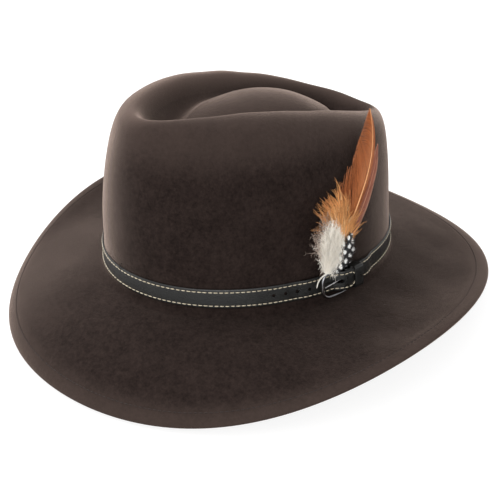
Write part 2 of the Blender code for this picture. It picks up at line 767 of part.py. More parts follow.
def main():
    clear_scene()
    origin = bpy.data.objects.new("hat_origin", None)
    bpy.context.scene.collection.objects.link(origin)
    hat = {"parts": collection("fedora_hat"), "cutters": collection("cutters"), "origin": origin}
    felt = material("felt", (0.040, 0.026, 0.020), 0.95)
    strap_leather = material("strap_leather", (0.012, 0.012, 0.011), 0.45)
    band_leather = material("sweatband_leather", (0.060, 0.034, 0.020), 0.55)
    cream = material("cream_thread", (0.62, 0.55, 0.42), 0.80)
    brown_thread = material("brown_thread", (0.045, 0.030, 0.022), 0.85)
    ribbon = material("ribbon", (0.030, 0.020, 0.016), 0.60)
    gunmetal = material("gunmetal", (0.050, 0.050, 0.052), 0.30, 1.0)
    steel = material("steel_wire", (0.50, 0.50, 0.50), 0.35, 1.0)
    slots = {
        "feather_orange": material("feather_orange", (0.42, 0.14, 0.045), 0.60),
        "feather_brown": material("feather_brown", (0.30, 0.13, 0.075), 0.60),
        "feather_gold": material("feather_gold", (0.62, 0.30, 0.10), 0.70),
        "feather_cream": material("feather_cream", (0.80, 0.72, 0.60), 0.85),
        "feather_spotted": material("feather_spotted", (0.030, 0.030, 0.034), 0.60),
        "feather_thread": material("feather_thread", (0.10, 0.06, 0.04), 0.80),
        "quill": material("quill", (0.80, 0.76, 0.68), 0.40),
    }
    make_felt(hat, felt)
    make_brim_edge(hat, steel, brown_thread)
    make_sweatband(hat, band_leather, brown_thread, ribbon)
    make_strap(hat, strap_leather)
    make_strap_stitching(hat, cream)
    make_tacks(hat, brown_thread)
    make_buckle(hat, gunmetal)
    make_keeper(hat, strap_leather)
    make_feathers(hat, slots)
    make_feather_stem(hat, slots)
    origin.matrix_world = hat_rest()


main()
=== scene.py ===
"""The looks of a brown felt fedora with a leather belt for a hat band and a bunch of feathers.

The hat's own frame has the crown over the origin, -Y as the front and +X as the wearer's left.
Shapes are worked out in that frame, in metres, and place() sets them down on the brim, where the
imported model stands.
"""

import math

import bpy
import numpy as np
from mathutils import Matrix


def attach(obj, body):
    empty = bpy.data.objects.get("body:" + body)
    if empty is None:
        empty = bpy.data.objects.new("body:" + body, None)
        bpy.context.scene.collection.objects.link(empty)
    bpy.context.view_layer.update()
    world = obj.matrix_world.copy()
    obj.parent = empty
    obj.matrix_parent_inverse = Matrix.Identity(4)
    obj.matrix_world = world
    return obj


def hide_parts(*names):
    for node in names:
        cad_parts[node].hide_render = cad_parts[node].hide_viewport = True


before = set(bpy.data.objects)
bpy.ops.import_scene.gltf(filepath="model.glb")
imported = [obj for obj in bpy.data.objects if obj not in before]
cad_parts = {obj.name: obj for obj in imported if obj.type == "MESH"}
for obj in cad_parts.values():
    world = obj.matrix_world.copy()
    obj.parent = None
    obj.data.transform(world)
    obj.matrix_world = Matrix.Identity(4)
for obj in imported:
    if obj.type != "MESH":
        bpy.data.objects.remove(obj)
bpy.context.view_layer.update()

# How the hat stands: tipped back until the front and the back of the brim touch the table
HAT_TILT = math.radians(-3.02154)
HAT_SHIFT = (0.0, 0.0037451, 0.0084588)

# Felt, as the CAD model has it
FELT = 0.0016
FOOT_X, FOOT_Y = 0.0865, 0.1045
CREST_X, CREST_Y, CREST_BACK = 0.0437, 0.0928, 0.0079
CREST_TAPER = -0.20
BRIM_X, BRIM_Y, BRIM_FORWARD = 0.1612, 0.1667, 0.0042
FOOT_RISE = (0.0214, 0.0039, -0.0007)
CREST_RISE = (0.1210, 0.0166, -0.0055, -0.0008)
EDGE_RISE = (0.0073, -0.0126, -0.0129, 0.0036, 0.0021, 0.0005, -0.0002)
SHOULDER = (2.80, -0.55)
WALL_TAPER = (0.21, -0.12, -0.10)
BREAK_RADIUS = 0.005
BREAK_SLOPE = -0.20
BREAK_TURN = math.pi / 2 + math.atan(BREAK_SLOPE)
FOLD_RADIUS = 0.0025
FOLD_WIDTH = 0.0075
ISLAND_PEAK, ISLAND_PEAK_Y = 0.1264, 0.0052
ISLAND_FALL_FRONT, ISLAND_FALL_BACK, ISLAND_FALL_SIDE = 3.4, 6.5, 9.7
ISLAND_SHARE = 0.60
CHANNEL_DEPTH = 0.009

# Felt detail
FELT_STATIONS = 210
EDGE_ROWS = 41  # rows round the turned edge
EDGE_FADE, FOOT_FADE = 20, 22  # rows over which the felt's unevenness comes in and goes out
WALL_ROWS, TOP_ROWS = 48, 36
CREST_SHARP, CREST_SOFT = 4, 90  # smoothing passes: at the wearer's left, and elsewhere
CREST_STEP = 0.0006
CREST_ZONE = 22  # rows of that step on each side of the crease
CREST_LIFT = 0.0026  # gives back the height that rounding the soft crease takes off
RIPPLE = 0.00035  # how uneven hand-blocked felt is
SEAM_GROOVE, SEAM_GROOVE_WIDTH, SEAM_ZONE = 0.00012, 0.0011, 0.0045
# Painted highlight: how much paler the felt is coloured at the brim's turned edge and near the
# crown's top, and over what width and height
PAINTED_EDGE_LIGHT, PAINTED_EDGE_LIGHT_WIDTH = 0.34, 0.016
PAINTED_TOP_LIGHT, PAINTED_TOP_LIGHT_FROM, PAINTED_TOP_LIGHT_OVER = 0.30, 0.100, 0.022

# Strap, buckle and keeper
GAP = 0.0003
STRAP_WIDTH = 0.0127
STRAP_THICK = 0.0010
STRAP_ABOVE_FOOT = 0.0010
SEAM_INSET = 0.0018
LAYER = STRAP_THICK + GAP
BAR_ALONG, BAR_OUT = 0.0035, 0.0037
OUTER_BAR_ALONG, OUTER_BAR_OUT = -0.0170, 0.0051
BAR_SPAN = BAR_ALONG - OUTER_BAR_ALONG
FRAME_WIRE = 0.0009
FRAME_HALF = STRAP_WIDTH / 2 + 0.0008 + FRAME_WIRE
FRAME_CORNER = 0.0050
FRAME_ARCH = 0.0006
PRONG_RADIUS = 0.0006
KEEPER_FROM, KEEPER_TO = 0.0066, 0.0142
KEEPER_WALL = 0.0008
LOW = GAP + STRAP_THICK / 2
STEM_LIFT = 0.0021
FOLD_LOW = 0.0019
FOLD_TURN = FRAME_WIRE + GAP + 0.0001 + STRAP_THICK / 2
LIFTED_END = 0.0400
FREE_END = (
    (-0.036, LOW),
    (-0.024, STEM_LIFT),
    (-0.0085, STEM_LIFT),
    (0.0005, 0.0069),
    (0.0045, 0.0072),
    (0.0105, 0.0060),
)
TIP_END = 0.0092
TIP_ROUND = 0.0060
FIXED_END = (
    (BAR_ALONG, BAR_OUT + FOLD_TURN),
    (0.0100, FOLD_LOW + LAYER),
    (0.0230, FOLD_LOW + LAYER),
    (0.0360, LOW),
)
FOLD_END = 0.0220
FOLD_STRAIGHT = 0.0008
HOLE_WIDTH = 0.0022
HOLE_PITCH = 0.0080
HOLES = 4
FIRST_HOLE = -0.0250
# Along, out, length, width and depth of what is cut out
PRONG_HOLE = (-0.0040, 0.0052, 0.0060, 0.0024, 0.0044)
FOLD_SLOT = (BAR_ALONG, 0.0034, 0.0070, 0.0026, 0.0056)
TACK = ((0.0008, -0.0014), (0.0017, -0.0011), (0.0018, 0.0003), (0.0011, 0.0014), (0.0001, 0.0024))
TACK_RADIUS = 0.00028

# Stitches: pitch, length and radius
STRAP_STITCH = (0.0033, 0.0025, 0.00032)
BRIM_STITCH = (0.0030, 0.0023, 0.00025)
SWEAT_STITCH = (0.0042, 0.0032, 0.00026)

# Sweatband
SWEAT_STATIONS = 240
SWEAT_HEIGHT = 0.032
SWEAT_THICK = 0.0009
SWEAT_GAP = 0.0005
SWEAT_FOOT = 0.0004
SWEAT_STITCH_RISE = 0.003
REED_RADIUS = 0.0008
BOW_RISE = 0.010
TAB_ANGLE, TAB_RISE, TAB_STAND = math.radians(205), 0.020, 0.0013
TAB_HALF_HEIGHT, TAB_CURL = 0.008, 0.0006

# Feathers
FEATHER_ORIGIN = np.array([0.0905, -0.0166, 0.0414])
FEATHER_ALONG = np.array([-0.275, 0.562, 0.780])
FEATHER_ALONG /= np.linalg.norm(FEATHER_ALONG)
FEATHER_OUT = np.array([0.961, 0.196, 0.197])
FEATHER_OUT /= np.linalg.norm(FEATHER_OUT)
FEATHER_SIDE = np.cross(FEATHER_ALONG, FEATHER_OUT)
FEATHER_LEAN, FEATHER_DROP = 1.22, 0.19
CLUMP_PITCH = 0.0042  # how far apart a vane's barbs change their lean
STEM_ALONG = -0.0140
QUILL_RADIUS = 0.00062
QUILL = (
    (-0.0165, 0.0125, 0.0135),
    (-0.0180, 0.0100, 0.0108),
    (-0.0196, 0.0072, 0.0078),
    (-0.0208, 0.0056, 0.0042),
    (-0.0214, 0.0050, 0.0005),
)
# Each spine lists along, side, out, left width, right width
LARGE = (
    (0.006, 0.0060, 0.0050, 0.0040, 0.0030),
    (0.024, 0.0095, 0.0052, 0.0130, 0.0045),
    (0.040, 0.0130, 0.0056, 0.0230, 0.0048),
    (0.055, 0.0155, 0.0060, 0.0240, 0.0042),
    (0.067, 0.0165, 0.0063, 0.0203, 0.0040),
    (0.076, 0.0160, 0.0066, 0.0182, 0.0038),
    (0.084, 0.0142, 0.0068, 0.0155, 0.0038),
    (0.092, 0.0108, 0.0072, 0.0112, 0.0036),
    (0.099, 0.0060, 0.0076, 0.0060, 0.0026),
    (0.1045, 0.0010, 0.0080, 0.0004, 0.0004),
)
REAR = (
    (0.010, 0.0090, 0.0022, 0.0030, 0.0030),
    (0.030, 0.0160, 0.0024, 0.0050, 0.0050),
    (0.050, 0.0215, 0.0026, 0.0064, 0.0052),
    (0.066, 0.0232, 0.0030, 0.0062, 0.0042),
    (0.078, 0.0228, 0.0034, 0.0046, 0.0032),
    (0.0895, 0.0205, 0.0038, 0.0004, 0.0004),
)
GUINEA = (
    (0.0020, 0.0090, 0.0112, 0.0024, 0.0024),
    (0.0080, 0.0110, 0.0117, 0.0068, 0.0078),
    (0.0150, 0.0126, 0.0121, 0.0080, 0.0088),
    (0.0220, 0.0134, 0.0119, 0.0066, 0.0076),
    (0.0288, 0.0138, 0.0113, 0.0014, 0.0014),
)
SPOT_ROW, SPOT_COLUMN = 0.0045, 0.0058
# Each fan lists where it starts (along, side), its span in degrees, its locks, length and curl
HACKLE_FANS = (
    (0.0350, -0.0030, -40, -16, 34, 0.015, -0.46),
    (0.0290, -0.0040, -50, -20, 50, 0.019, -0.50),
    (0.0235, -0.0040, -56, -26, 26, 0.020, -0.44),
    (0.0250, 0.0030, -28, 8, 76, 0.023, -0.16),
    (0.0250, 0.0080, 0, 34, 56, 0.020, 0.16),
    (0.0220, 0.0040, -30, 26, 60, 0.015, 0.05),
)
HACKLE_LOCK = 5  # barbs in a lock
DOWN_BARBS, WISP_BARBS = 400, 84

# Camera, in the hat's own frame
CAMERA_AZIMUTH, CAMERA_ELEVATION, CAMERA_DISTANCE = math.radians(50.0), math.radians(29.0), 0.6259
CAMERA_LENS, CAMERA_SENSOR = 66.9, 36.0
AIM_RISE, AIM_RIGHT, AIM_UP = 0.06, -0.0004, -0.0413

# Studio: each light's name, place, aim, size and power
SUN_SIDE, WORLD_DARK, WORLD_LIGHT = (-0.74, -0.42, 0.60), 0.62, 1.12
LIGHTS = (
    ("key", (-0.98, -0.60, 1.00), (0, 0, 0.06), (1.0, 0.8), 6.5),
    ("top", (-0.66, 0.02, 1.28), (0, 0, 0.10), (0.8, 0.8), 14.0),
    ("fill", (1.08, -0.88, 0.50), (0, 0, 0.06), (1.2, 0.8), 9.5),
    ("rim", (-0.55, 1.35, 0.30), (0, 0, 0.08), (0.5, 0.3), 1.0),
)

FULL_TURN = 2 * math.pi
CIRCLE = {
    n: np.array([(math.cos(FULL_TURN * i / n), math.sin(FULL_TURN * i / n)) for i in range(n)])
    for n in (6, 8, 12, 16)
}
BARB = np.array([(-1.0, 0.0), (1.0, 0.0), (0.0, 1.0)])
UP = np.array([0.0, 0.0, 1.0])

rng = np.random.default_rng(58)


# ---- small tools ----


def place(points):
    """From the hat's own frame to where the hat stands."""
    c, s = math.cos(HAT_TILT), math.sin(HAT_TILT)
    turn = np.array([[1, 0, 0], [0, c, -s], [0, s, c]])
    return points @ turn.T + np.array(HAT_SHIFT)


def unit(v):
    return v / np.maximum(np.linalg.norm(v, axis=-1, keepdims=True), 1e-12)


def vec(x, y, z):
    return np.stack(np.broadcast_arrays(x, y, z), axis=-1).astype(float)


def series(terms, angle):
    return sum(term * np.cos(i * angle) for i, term in enumerate(terms))


def smoothstep(x):
    x = np.clip(x, 0, 1)
    return x * x * (3 - 2 * x)


def smoothed(rows, passes):
    rows = rows.copy()
    for _ in range(passes):
        rows[1:-1] = 0.25 * rows[:-2] + 0.5 * rows[1:-1] + 0.25 * rows[2:]
    return rows


def through(table, x, column):
    """A smooth curve through a table's rows, read at x."""
    xs = np.array([row[0] for row in table], float)
    ys = np.array([row[column] for row in table], float)
    slopes = np.gradient(ys, xs)
    x = np.clip(x, xs[0], xs[-1])
    i = np.clip(np.searchsorted(xs, x) - 1, 0, len(xs) - 2)
    span = xs[i + 1] - xs[i]
    t = (x - xs[i]) / span
    return (
        (1 + 2 * t) * (1 - t) ** 2 * ys[i]
        + t * (1 - t) ** 2 * span * slopes[i]
        + t * t * (3 - 2 * t) * ys[i + 1]
        + t * t * (t - 1) * span * slopes[i + 1]
    )


def level_table(table, x):
    """A curve through (x, value) pairs that is level at each pair, as the CAD strap runs."""
    x = np.asarray(x, float)
    result = np.full(x.shape, table[0][1])
    for (x0, y0), (x1, y1) in zip(table, table[1:]):
        result = np.where(x > x0, y0 + (y1 - y0) * smoothstep((x - x0) / (x1 - x0)), result)
    return result


def arc_length(line):
    return np.concatenate([[0], np.cumsum(np.linalg.norm(np.diff(line, axis=0), axis=1))])


def resample(values, lengths, at):
    return np.stack([np.interp(at, lengths, values[:, i]) for i in range(values.shape[1])], -1)


def through_points(points, count):
    """A smooth open line through a few points."""
    points = np.array(points, float)
    knots = arc_length(points)
    table = [(s, *p) for s, p in zip(knots, points)]
    at = np.linspace(0, knots[-1], count)
    return np.stack([through(table, at, column) for column in (1, 2, 3)], -1)


# ---- the felt's surface ----


def foot(angle):
    return vec(FOOT_X * np.sin(angle), -FOOT_Y * np.cos(angle), series(FOOT_RISE, angle))


def outward(angle):
    return unit(vec(FOOT_Y * np.sin(angle), -FOOT_X * np.cos(angle), 0))


def crest(angle):
    width = CREST_X * (1 + CREST_TAPER * np.cos(angle))
    y = -CREST_Y * np.cos(angle) + CREST_BACK
    return vec(width * np.sin(angle), y, series(CREST_RISE, angle))


def wall(angle, height):
    power, taper = series(SHOULDER, angle), series(WALL_TAPER, angle)
    round_part = 1 - np.maximum(0, 1 - height**power) ** (1 / power)
    lean = taper * height + (1 - taper) * round_part
    low, high = foot(angle), crest(angle)
    point = low + (high - low) * lean[..., None]
    point[..., 2] = low[..., 2] + (high[..., 2] - low[..., 2]) * height
    return point


def wall_above(angle, rise):
    angle = np.asarray(angle, float)
    return wall(angle, rise / (crest(angle)[..., 2] - foot(angle)[..., 2]))


def inside(angle, rise, depth):
    return wall_above(angle, rise) - outward(angle) * depth


def brim_edge(angle):
    y = -BRIM_Y * np.cos(angle) - BRIM_FORWARD
    return vec(BRIM_X * np.sin(angle), y, series(EDGE_RISE, angle))


def brim_width(angle):
    return np.linalg.norm((brim_edge(angle) - foot(angle))[..., :2], axis=-1)


def break_point(angle, turn):
    point = foot(angle) + outward(angle) * BREAK_RADIUS * (1 - math.cos(turn))
    point[..., 2] -= BREAK_RADIUS * math.sin(turn)
    return point


def brim(angle, share):
    start = break_point(angle, BREAK_TURN)
    end = brim_edge(angle)
    width = np.linalg.norm((end - start)[..., :2], axis=-1)
    share = np.broadcast_to(share, width.shape)
    point = start + (end - start) * share[..., None]
    drop = BREAK_SLOPE * width
    point[..., 2] = start[..., 2] + drop * share + (end[..., 2] - start[..., 2] - drop) * share**2
    return point


def brim_frame(angle, share):
    along = unit(brim(angle, share) - brim(angle, share - 0.02))
    across = brim(angle + 0.01, share) - brim(angle - 0.01, share)
    return along, unit(np.cross(along, across))


def fold_share(angle, inset):
    return 1 - inset / brim_width(angle)


def crown_top(angle, share):
    rim = crest(angle)
    x, y = rim[..., 0] * share, rim[..., 1] * share
    fall = np.where(y < ISLAND_PEAK_Y, ISLAND_FALL_FRONT, ISLAND_FALL_BACK)
    island = ISLAND_PEAK - fall * (y - ISLAND_PEAK_Y) ** 2 - ISLAND_FALL_SIDE * x**2
    rise = np.maximum(0, (share - ISLAND_SHARE) / (1 - ISLAND_SHARE))
    channel = CHANNEL_DEPTH * np.sin(math.pi * rise**1.5)
    return vec(x, y, island + (rim[..., 2] - island) * smoothstep(rise) - channel)


# ---- mesh building ----


def quads(rows, columns, wrap_rows=False):
    """Faces of a grid of points, which closes on itself across, and where asked from end to end."""
    ends = rows if wrap_rows else rows - 1
    i, j = np.meshgrid(np.arange(ends), np.arange(columns), indexing="ij")
    i2, j2 = (i + 1) % rows * columns, (j + 1) % columns
    i = i * columns
    return np.stack([i + j, i + j2, i2 + j2, i2 + j], -1).reshape(-1, 4)


def line_axes(lines, facing, closed=False):
    """Directions across and out along lines (..., k, 3) whose faces look towards facing."""
    if closed:
        ahead = unit(np.roll(lines, -1, -2) - np.roll(lines, 1, -2))
    else:
        ahead = unit(np.gradient(lines, axis=-2))
    across = unit(np.cross(facing, ahead))
    return across, np.cross(ahead, across)


class Solids:
    """Closed bodies gathered into one mesh, with a number or two on each point for its material."""

    def __init__(self):
        self.points, self.faces, self.marks, self.count = [], [], {}, 0

    def add(self, points, faces, **marks):
        points = np.asarray(points, float).reshape(-1, 3)
        self.points.append(points)
        self.faces.extend(np.asarray(face) + self.count for face in faces)
        for key, value in marks.items():
            self.marks.setdefault(key, []).append(value)
        self.count += len(points)

    def sweep(self, lines, facing, widths, depths, ring, closed=False, axes=None, **marks):
        """Solids along lines (n, k, 3), or along one line (k, 3). Each section is ring, scaled by
        half width and by depth. Its depth is towards facing, unless axes gives both directions."""
        across, out = axes or line_axes(lines, facing, closed)
        lines = lines.reshape(-1, *lines.shape[-2:])
        n, k, sides = *lines.shape[:2], len(ring)
        across, out = (np.broadcast_to(v, (n, k, 3))[:, :, None] for v in (across, out))
        widths, depths = (np.broadcast_to(v, (n, k))[..., None, None] for v in (widths, depths))
        points = lines[:, :, None] + across * ring[:, :1] * widths + out * ring[:, 1:] * depths
        starts = np.arange(n) * k * sides
        faces = list((starts[:, None, None] + quads(k, sides, closed)).reshape(-1, 4))
        if not closed:
            for start in starts:
                faces.append(start + np.arange(sides)[::-1])
                faces.append(start + (k - 1) * sides + np.arange(sides))
        spread = {key: np.repeat(np.broadcast_to(value, (n, k)).reshape(-1), sides)
                  for key, value in marks.items()}
        self.add(points, faces, **spread)

    def piece(self, name, material, body, replaces=(), sharp=None):
        mesh = bpy.data.meshes.new(name)
        points = place(np.concatenate(self.points))
        mesh.from_pydata(points.tolist(), [], [face.tolist() for face in self.faces])
        for key, values in self.marks.items():
            attribute = mesh.attributes.new(key, "FLOAT", "POINT")
            attribute.data.foreach_set("value", np.concatenate(values).astype(np.float32))
        mesh.validate()
        mesh.shade_smooth()
        if sharp:
            mesh.set_sharp_from_angle(angle=math.radians(sharp))
        obj = bpy.data.objects.new(name, mesh)
        bpy.context.scene.collection.objects.link(obj)
        mesh.materials.append(material)
        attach(obj, body)
        if replaces:
            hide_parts(*replaces)
        return obj


def rounded_bar(half_width, half_thick, radius, steps=3):
    """A section: a rectangle with round corners."""
    points = []
    for sx, sy, start in ((1, 1, 0), (-1, 1, 90), (-1, -1, 180), (1, -1, 270)):
        for i in range(steps + 1):
            turn = math.radians(start + 90 * i / steps)
            x = sx * (half_width - radius) + radius * math.cos(turn)
            y = sy * (half_thick - radius) + radius * math.sin(turn)
            points.append((x, y))
    return np.array(points)


# ---- materials ----


def node(tree, kind, inputs, **settings):
    made = tree.nodes.new("ShaderNode" + kind)
    for key, value in settings.items():
        setattr(made, key, value)
    for key, value in inputs.items():
        if isinstance(value, bpy.types.NodeSocket):
            tree.links.new(value, made.inputs[key])
        else:
            made.inputs[key].default_value = value
    return made


def rgba(color):
    return (*color, 1.0)


class Finish:
    """A Principled material whose colour, roughness and bump come from nodes."""

    def __init__(self, name, **constants):
        self.material = bpy.data.materials.new(name)
        self.material.use_nodes = True
        self.tree = self.material.node_tree
        self.shader = self.tree.nodes["Principled BSDF"]
        for key, value in constants.items():
            self.shader.inputs[key.replace("_", " ")].default_value = value
        self.place = node(self.tree, "TexCoord", {}).outputs["Object"]
        self.normal = None

    def noise(self, scale, detail=2.0, roughness=0.5, stretch=None):
        vector = self.place
        if stretch:
            mapping = node(self.tree, "Mapping", {"Vector": self.place, "Scale": stretch})
            vector = mapping.outputs["Vector"]
        inputs = {"Vector": vector, "Scale": scale, "Detail": detail, "Roughness": roughness}
        return node(self.tree, "TexNoise", inputs).outputs["Fac"]

    def mark(self, name):
        return node(self.tree, "Attribute", {}, attribute_name=name).outputs["Fac"]

    def math(self, operation, a, b=0.0):
        return node(self.tree, "Math", {0: a, 1: b}, operation=operation).outputs[0]

    def between(self, value, low, high, to_low=0.0, to_high=1.0):
        inputs = {"Value": value, "From Min": low, "From Max": high, "To Min": to_low,
                  "To Max": to_high}
        return node(self.tree, "MapRange", inputs).outputs[0]

    def mix(self, factor, a, b):
        a, b = (v if isinstance(v, bpy.types.NodeSocket) else rgba(v) for v in (a, b))
        made = node(self.tree, "Mix", {0: factor, 6: a, 7: b}, data_type="RGBA")
        return made.outputs[2]

    def surface(self, color, roughness):
        self.tree.links.new(color, self.shader.inputs["Base Color"])
        self.tree.links.new(roughness, self.shader.inputs["Roughness"])
        return self.material

    def bump(self, height, distance, strength):
        inputs = {"Height": height, "Distance": distance, "Strength": strength}
        if self.normal:
            inputs["Normal"] = self.normal
        self.normal = node(self.tree, "Bump", inputs).outputs["Normal"]
        self.tree.links.new(self.normal, self.shader.inputs["Normal"])


def felt_finish():
    """Short-napped wool felt: almost black in its depth, with a pale bloom where its nap is seen
    edge on."""
    f = Finish("felt", Sheen_Weight=1.0, Sheen_Roughness=0.33,
               Sheen_Tint=rgba((0.58, 0.45, 0.385)), Specular_IOR_Level=0.05)
    blotch = f.noise(60.0, 4.0, 0.65)
    nap = f.noise(750.0, 6.0, 0.75)
    clump = f.noise(340.0, 3.0, 0.6)
    shade = f.math("ADD", f.math("MULTIPLY", blotch, 0.25), f.math("MULTIPLY", nap, 0.40))
    shade = f.between(f.math("ADD", shade, f.math("MULTIPLY", clump, 0.35)), 0.38, 0.62)
    plain = f.mix(shade, (0.0085, 0.0054, 0.0047), (0.0265, 0.0178, 0.0153))
    f.bump(f.noise(120.0, 3.0), 0.0004, 0.25)
    f.bump(nap, 0.0004, 0.7)
    # The pale colour mixed in by this mark is a painted highlight on the brim's edge, the crown's
    # top and the crease
    return f.surface(f.mix(f.mark("worn"), plain, (0.085, 0.061, 0.052)),
                     f.between(nap, 0.3, 0.7, 0.88, 1.0))


def leather_finish(name, dark, light, rough, grain=900.0):
    f = Finish(name, Specular_IOR_Level=0.5)
    cells = node(f.tree, "TexVoronoi", {"Vector": f.place, "Scale": grain},
                 feature="DISTANCE_TO_EDGE").outputs["Distance"]
    f.bump(f.between(cells, 0.0, 0.25), 0.00012, 0.5)
    f.bump(f.noise(2600.0), 0.00004, 0.35)
    return f.surface(f.mix(f.between(f.noise(90.0, 3.0), 0.3, 0.7), dark, light),
                     f.between(f.noise(260.0, 3.0), 0.3, 0.7, rough - 0.07, rough + 0.09))


def thread_finish(name, dark, light, sheen=0.3):
    f = Finish(name, Sheen_Weight=sheen, Sheen_Roughness=0.5, Specular_IOR_Level=0.3)
    twist = f.noise(2200.0, stretch=(1.0, 1.0, 3.0))
    f.bump(twist, 0.00012, 0.8)
    return f.surface(f.mix(f.between(twist, 0.35, 0.65), dark, light),
                     f.between(twist, 0.3, 0.7, 0.6, 0.85))


def ribbon_finish(name, dark, light):
    f = Finish(name, Sheen_Weight=0.4, Sheen_Roughness=0.3)
    weave = f.noise(1800.0, 1.0, stretch=(1.0, 1.0, 0.2))
    f.bump(weave, 0.0001, 0.6)
    return f.surface(f.mix(f.between(weave, 0.35, 0.65), dark, light),
                     f.between(weave, 0.3, 0.7, 0.45, 0.65))


def metal_finish(name, color, rough):
    f = Finish(name, Metallic=1.0)
    smudge = f.noise(220.0, 4.0)
    f.bump(f.noise(3000.0), 0.00002, 0.3)
    return f.surface(f.mix(f.between(smudge, 0.35, 0.7), color, tuple(1.5 * c for c in color)),
                     f.between(smudge, 0.3, 0.7, rough - 0.06, rough + 0.08))


def quill_finish():
    f = Finish("white_quill", Specular_IOR_Level=0.5)
    return f.surface(f.mix(f.noise(400.0), (0.62, 0.58, 0.50), (0.88, 0.85, 0.78)),
                     f.between(f.noise(700.0), 0.3, 0.7, 0.28, 0.42))


def feather_finish(name, root, middle, tip, shaft, rough=0.55, sheen=0.0):
    """Colour runs from the root of each barb to its tip, and from barb to barb."""
    f = Finish(name, Sheen_Weight=sheen, Sheen_Roughness=0.4, Specular_IOR_Level=0.2)
    reach = f.mark("reach")
    run = f.mix(f.between(reach, 0.0, 0.45), root, middle)
    run = f.mix(f.between(reach, 0.55, 1.0), run, tip)
    varied = f.mix(f.math("MULTIPLY", f.mark("tone"), 0.75), run, (0.05, 0.018, 0.01))
    streak = f.noise(1500.0)
    pale = tuple(min(1.0, 1.6 * c) for c in middle)
    varied = f.mix(f.between(streak, 0.35, 0.75, 0.0, 0.25), varied, pale)
    return f.surface(f.mix(f.mark("shaft"), varied, shaft),
                     f.between(streak, 0.3, 0.7, rough - 0.1, rough + 0.1))


def spotted_finish():
    """Black barbs with round white spots in staggered rows, each over several barbs."""
    f = Finish("guinea", Sheen_Weight=0.05, Sheen_Roughness=0.4, Specular_IOR_Level=0.4)
    row = f.math("MULTIPLY", f.mark("along"), 1 / SPOT_ROW)
    odd = f.math("MULTIPLY", f.math("PINGPONG", f.math("FLOOR", row), 1.0), 0.5)
    column = f.math("ADD", f.math("MULTIPLY", f.mark("side"), 1 / SPOT_COLUMN), odd)
    dx, dy = (f.math("SUBTRACT", f.math("FRACT", v), 0.5) for v in (row, column))
    square = f.math("ADD", f.math("MULTIPLY", dx, dx), f.math("MULTIPLY", dy, dy))
    wobble = f.between(f.noise(330.0, 3.0), 0.3, 0.7, -0.17, 0.17)
    spot = f.between(f.math("ADD", f.math("SQRT", square), wobble), 0.34, 0.27)
    black = f.between(f.noise(1400.0), 0.4, 0.8)
    black = f.mix(black, (0.003, 0.003, 0.004), (0.022, 0.022, 0.028))
    return f.surface(f.mix(spot, black, (0.92, 0.92, 0.90)),
                     f.between(f.mark("tone"), 0.0, 1.0, 0.35, 0.55))


# ---- felt ----


def crease_softness(angles):
    """The crown's crease is sharp at the wearer's left, and softly rounded elsewhere."""
    return smoothstep((0.55 - np.sin(angles)) / 0.8)


def crown_rows(angles):
    """Rows from the foot to nearly the middle, dense at the crease, which is then rounded."""
    zone = CREST_STEP * CREST_ZONE
    near = np.linspace(-zone, zone, 2 * CREST_ZONE + 1)
    heights = 1 - (1 - np.linspace(0, 1, 400)) ** 2
    shares = 1 - np.linspace(0, 1, 500) * 0.985
    columns = []
    for angle in angles:
        up = wall(np.full(400, angle), heights)
        line = np.concatenate([up, crown_top(np.full(500, angle), shares)[1:]])
        lengths, crease = arc_length(line), arc_length(up)[-1]
        low = (crease - zone) * np.linspace(0, 1, WALL_ROWS, endpoint=False)
        beyond = lengths[-1] - crease - zone
        high = crease + zone + beyond * np.linspace(0, 1, TOP_ROWS)[1:] ** 1.1
        columns.append(resample(line, lengths, np.concatenate([low, crease + near, high])))
    rows = np.stack(columns, 1)
    first, last = WALL_ROWS, WALL_ROWS + 2 * CREST_ZONE
    sharp, soft = (smoothed(rows[first:last + 1], passes) for passes in (CREST_SHARP, CREST_SOFT))
    softness = crease_softness(angles)[:, None]
    rows[first:last + 1] = sharp + (soft - sharp) * softness
    lift = np.ones(len(rows))
    lift[:first + 1] = smoothstep(np.linspace(-0.6, 1, first + 1))
    lift[last:] = smoothstep(np.linspace(1, -0.9, len(rows) - last))
    rows[..., 2] += CREST_LIFT * lift[:, None] * softness[:, 0]
    return rows


def brim_rows(angles):
    """Rows from the turned-under edge, round it, and in over the brim to the crown's foot."""
    rows = []
    width = brim_width(angles)
    seam = fold_share(angles, FOLD_WIDTH)
    for turn in np.linspace(1.5 * math.pi, 0.5 * math.pi, EDGE_ROWS):
        reach, rise = -math.cos(turn), math.sin(turn)
        rise = rise if rise < 0 else 0.72 * rise + 0.28 * (1 - reach)
        share = seam + FOLD_WIDTH * reach / width
        along, up = brim_frame(angles, share)
        rows.append(brim(angles, share) - up * FOLD_RADIUS * (1 - rise))
    for step in np.linspace(0, 1, 14)[1:]:
        rows.append(grooved(angles, seam - SEAM_ZONE * step / width, seam))
    for step in np.linspace(1, 0, 40)[1:]:
        rows.append(brim(angles, (seam - SEAM_ZONE / width) * step))
    for turn in np.linspace(BREAK_TURN, 0, 7)[1:-1]:
        rows.append(break_point(angles, turn))
    return np.stack(rows)


def grooved(angles, share, seam):
    """The brim's upper face near its stitches, which pull the felt down into a shallow groove."""
    along, up = brim_frame(angles, share)
    away = (share - seam) * brim_width(angles)
    depth = SEAM_GROOVE * np.exp(-((away / SEAM_GROOVE_WIDTH) ** 2))
    return brim(angles, share) - up * depth[..., None]


def grid_normals(rows):
    down = np.gradient(rows, axis=0)
    along = np.roll(rows, -1, 1) - np.roll(rows, 1, 1)
    return unit(np.cross(along, down))


def ripple(points):
    """A slow unevenness, the same at each place whatever the mesh."""
    waves = np.random.default_rng(3)
    total = np.zeros(points.shape[:-1])
    for _ in range(9):
        direction = unit(waves.normal(size=3))
        length = waves.uniform(0.028, 0.075)
        total += np.sin(points @ direction * 2 * math.pi / length + waves.uniform(0, 2 * math.pi))
    return total / 4


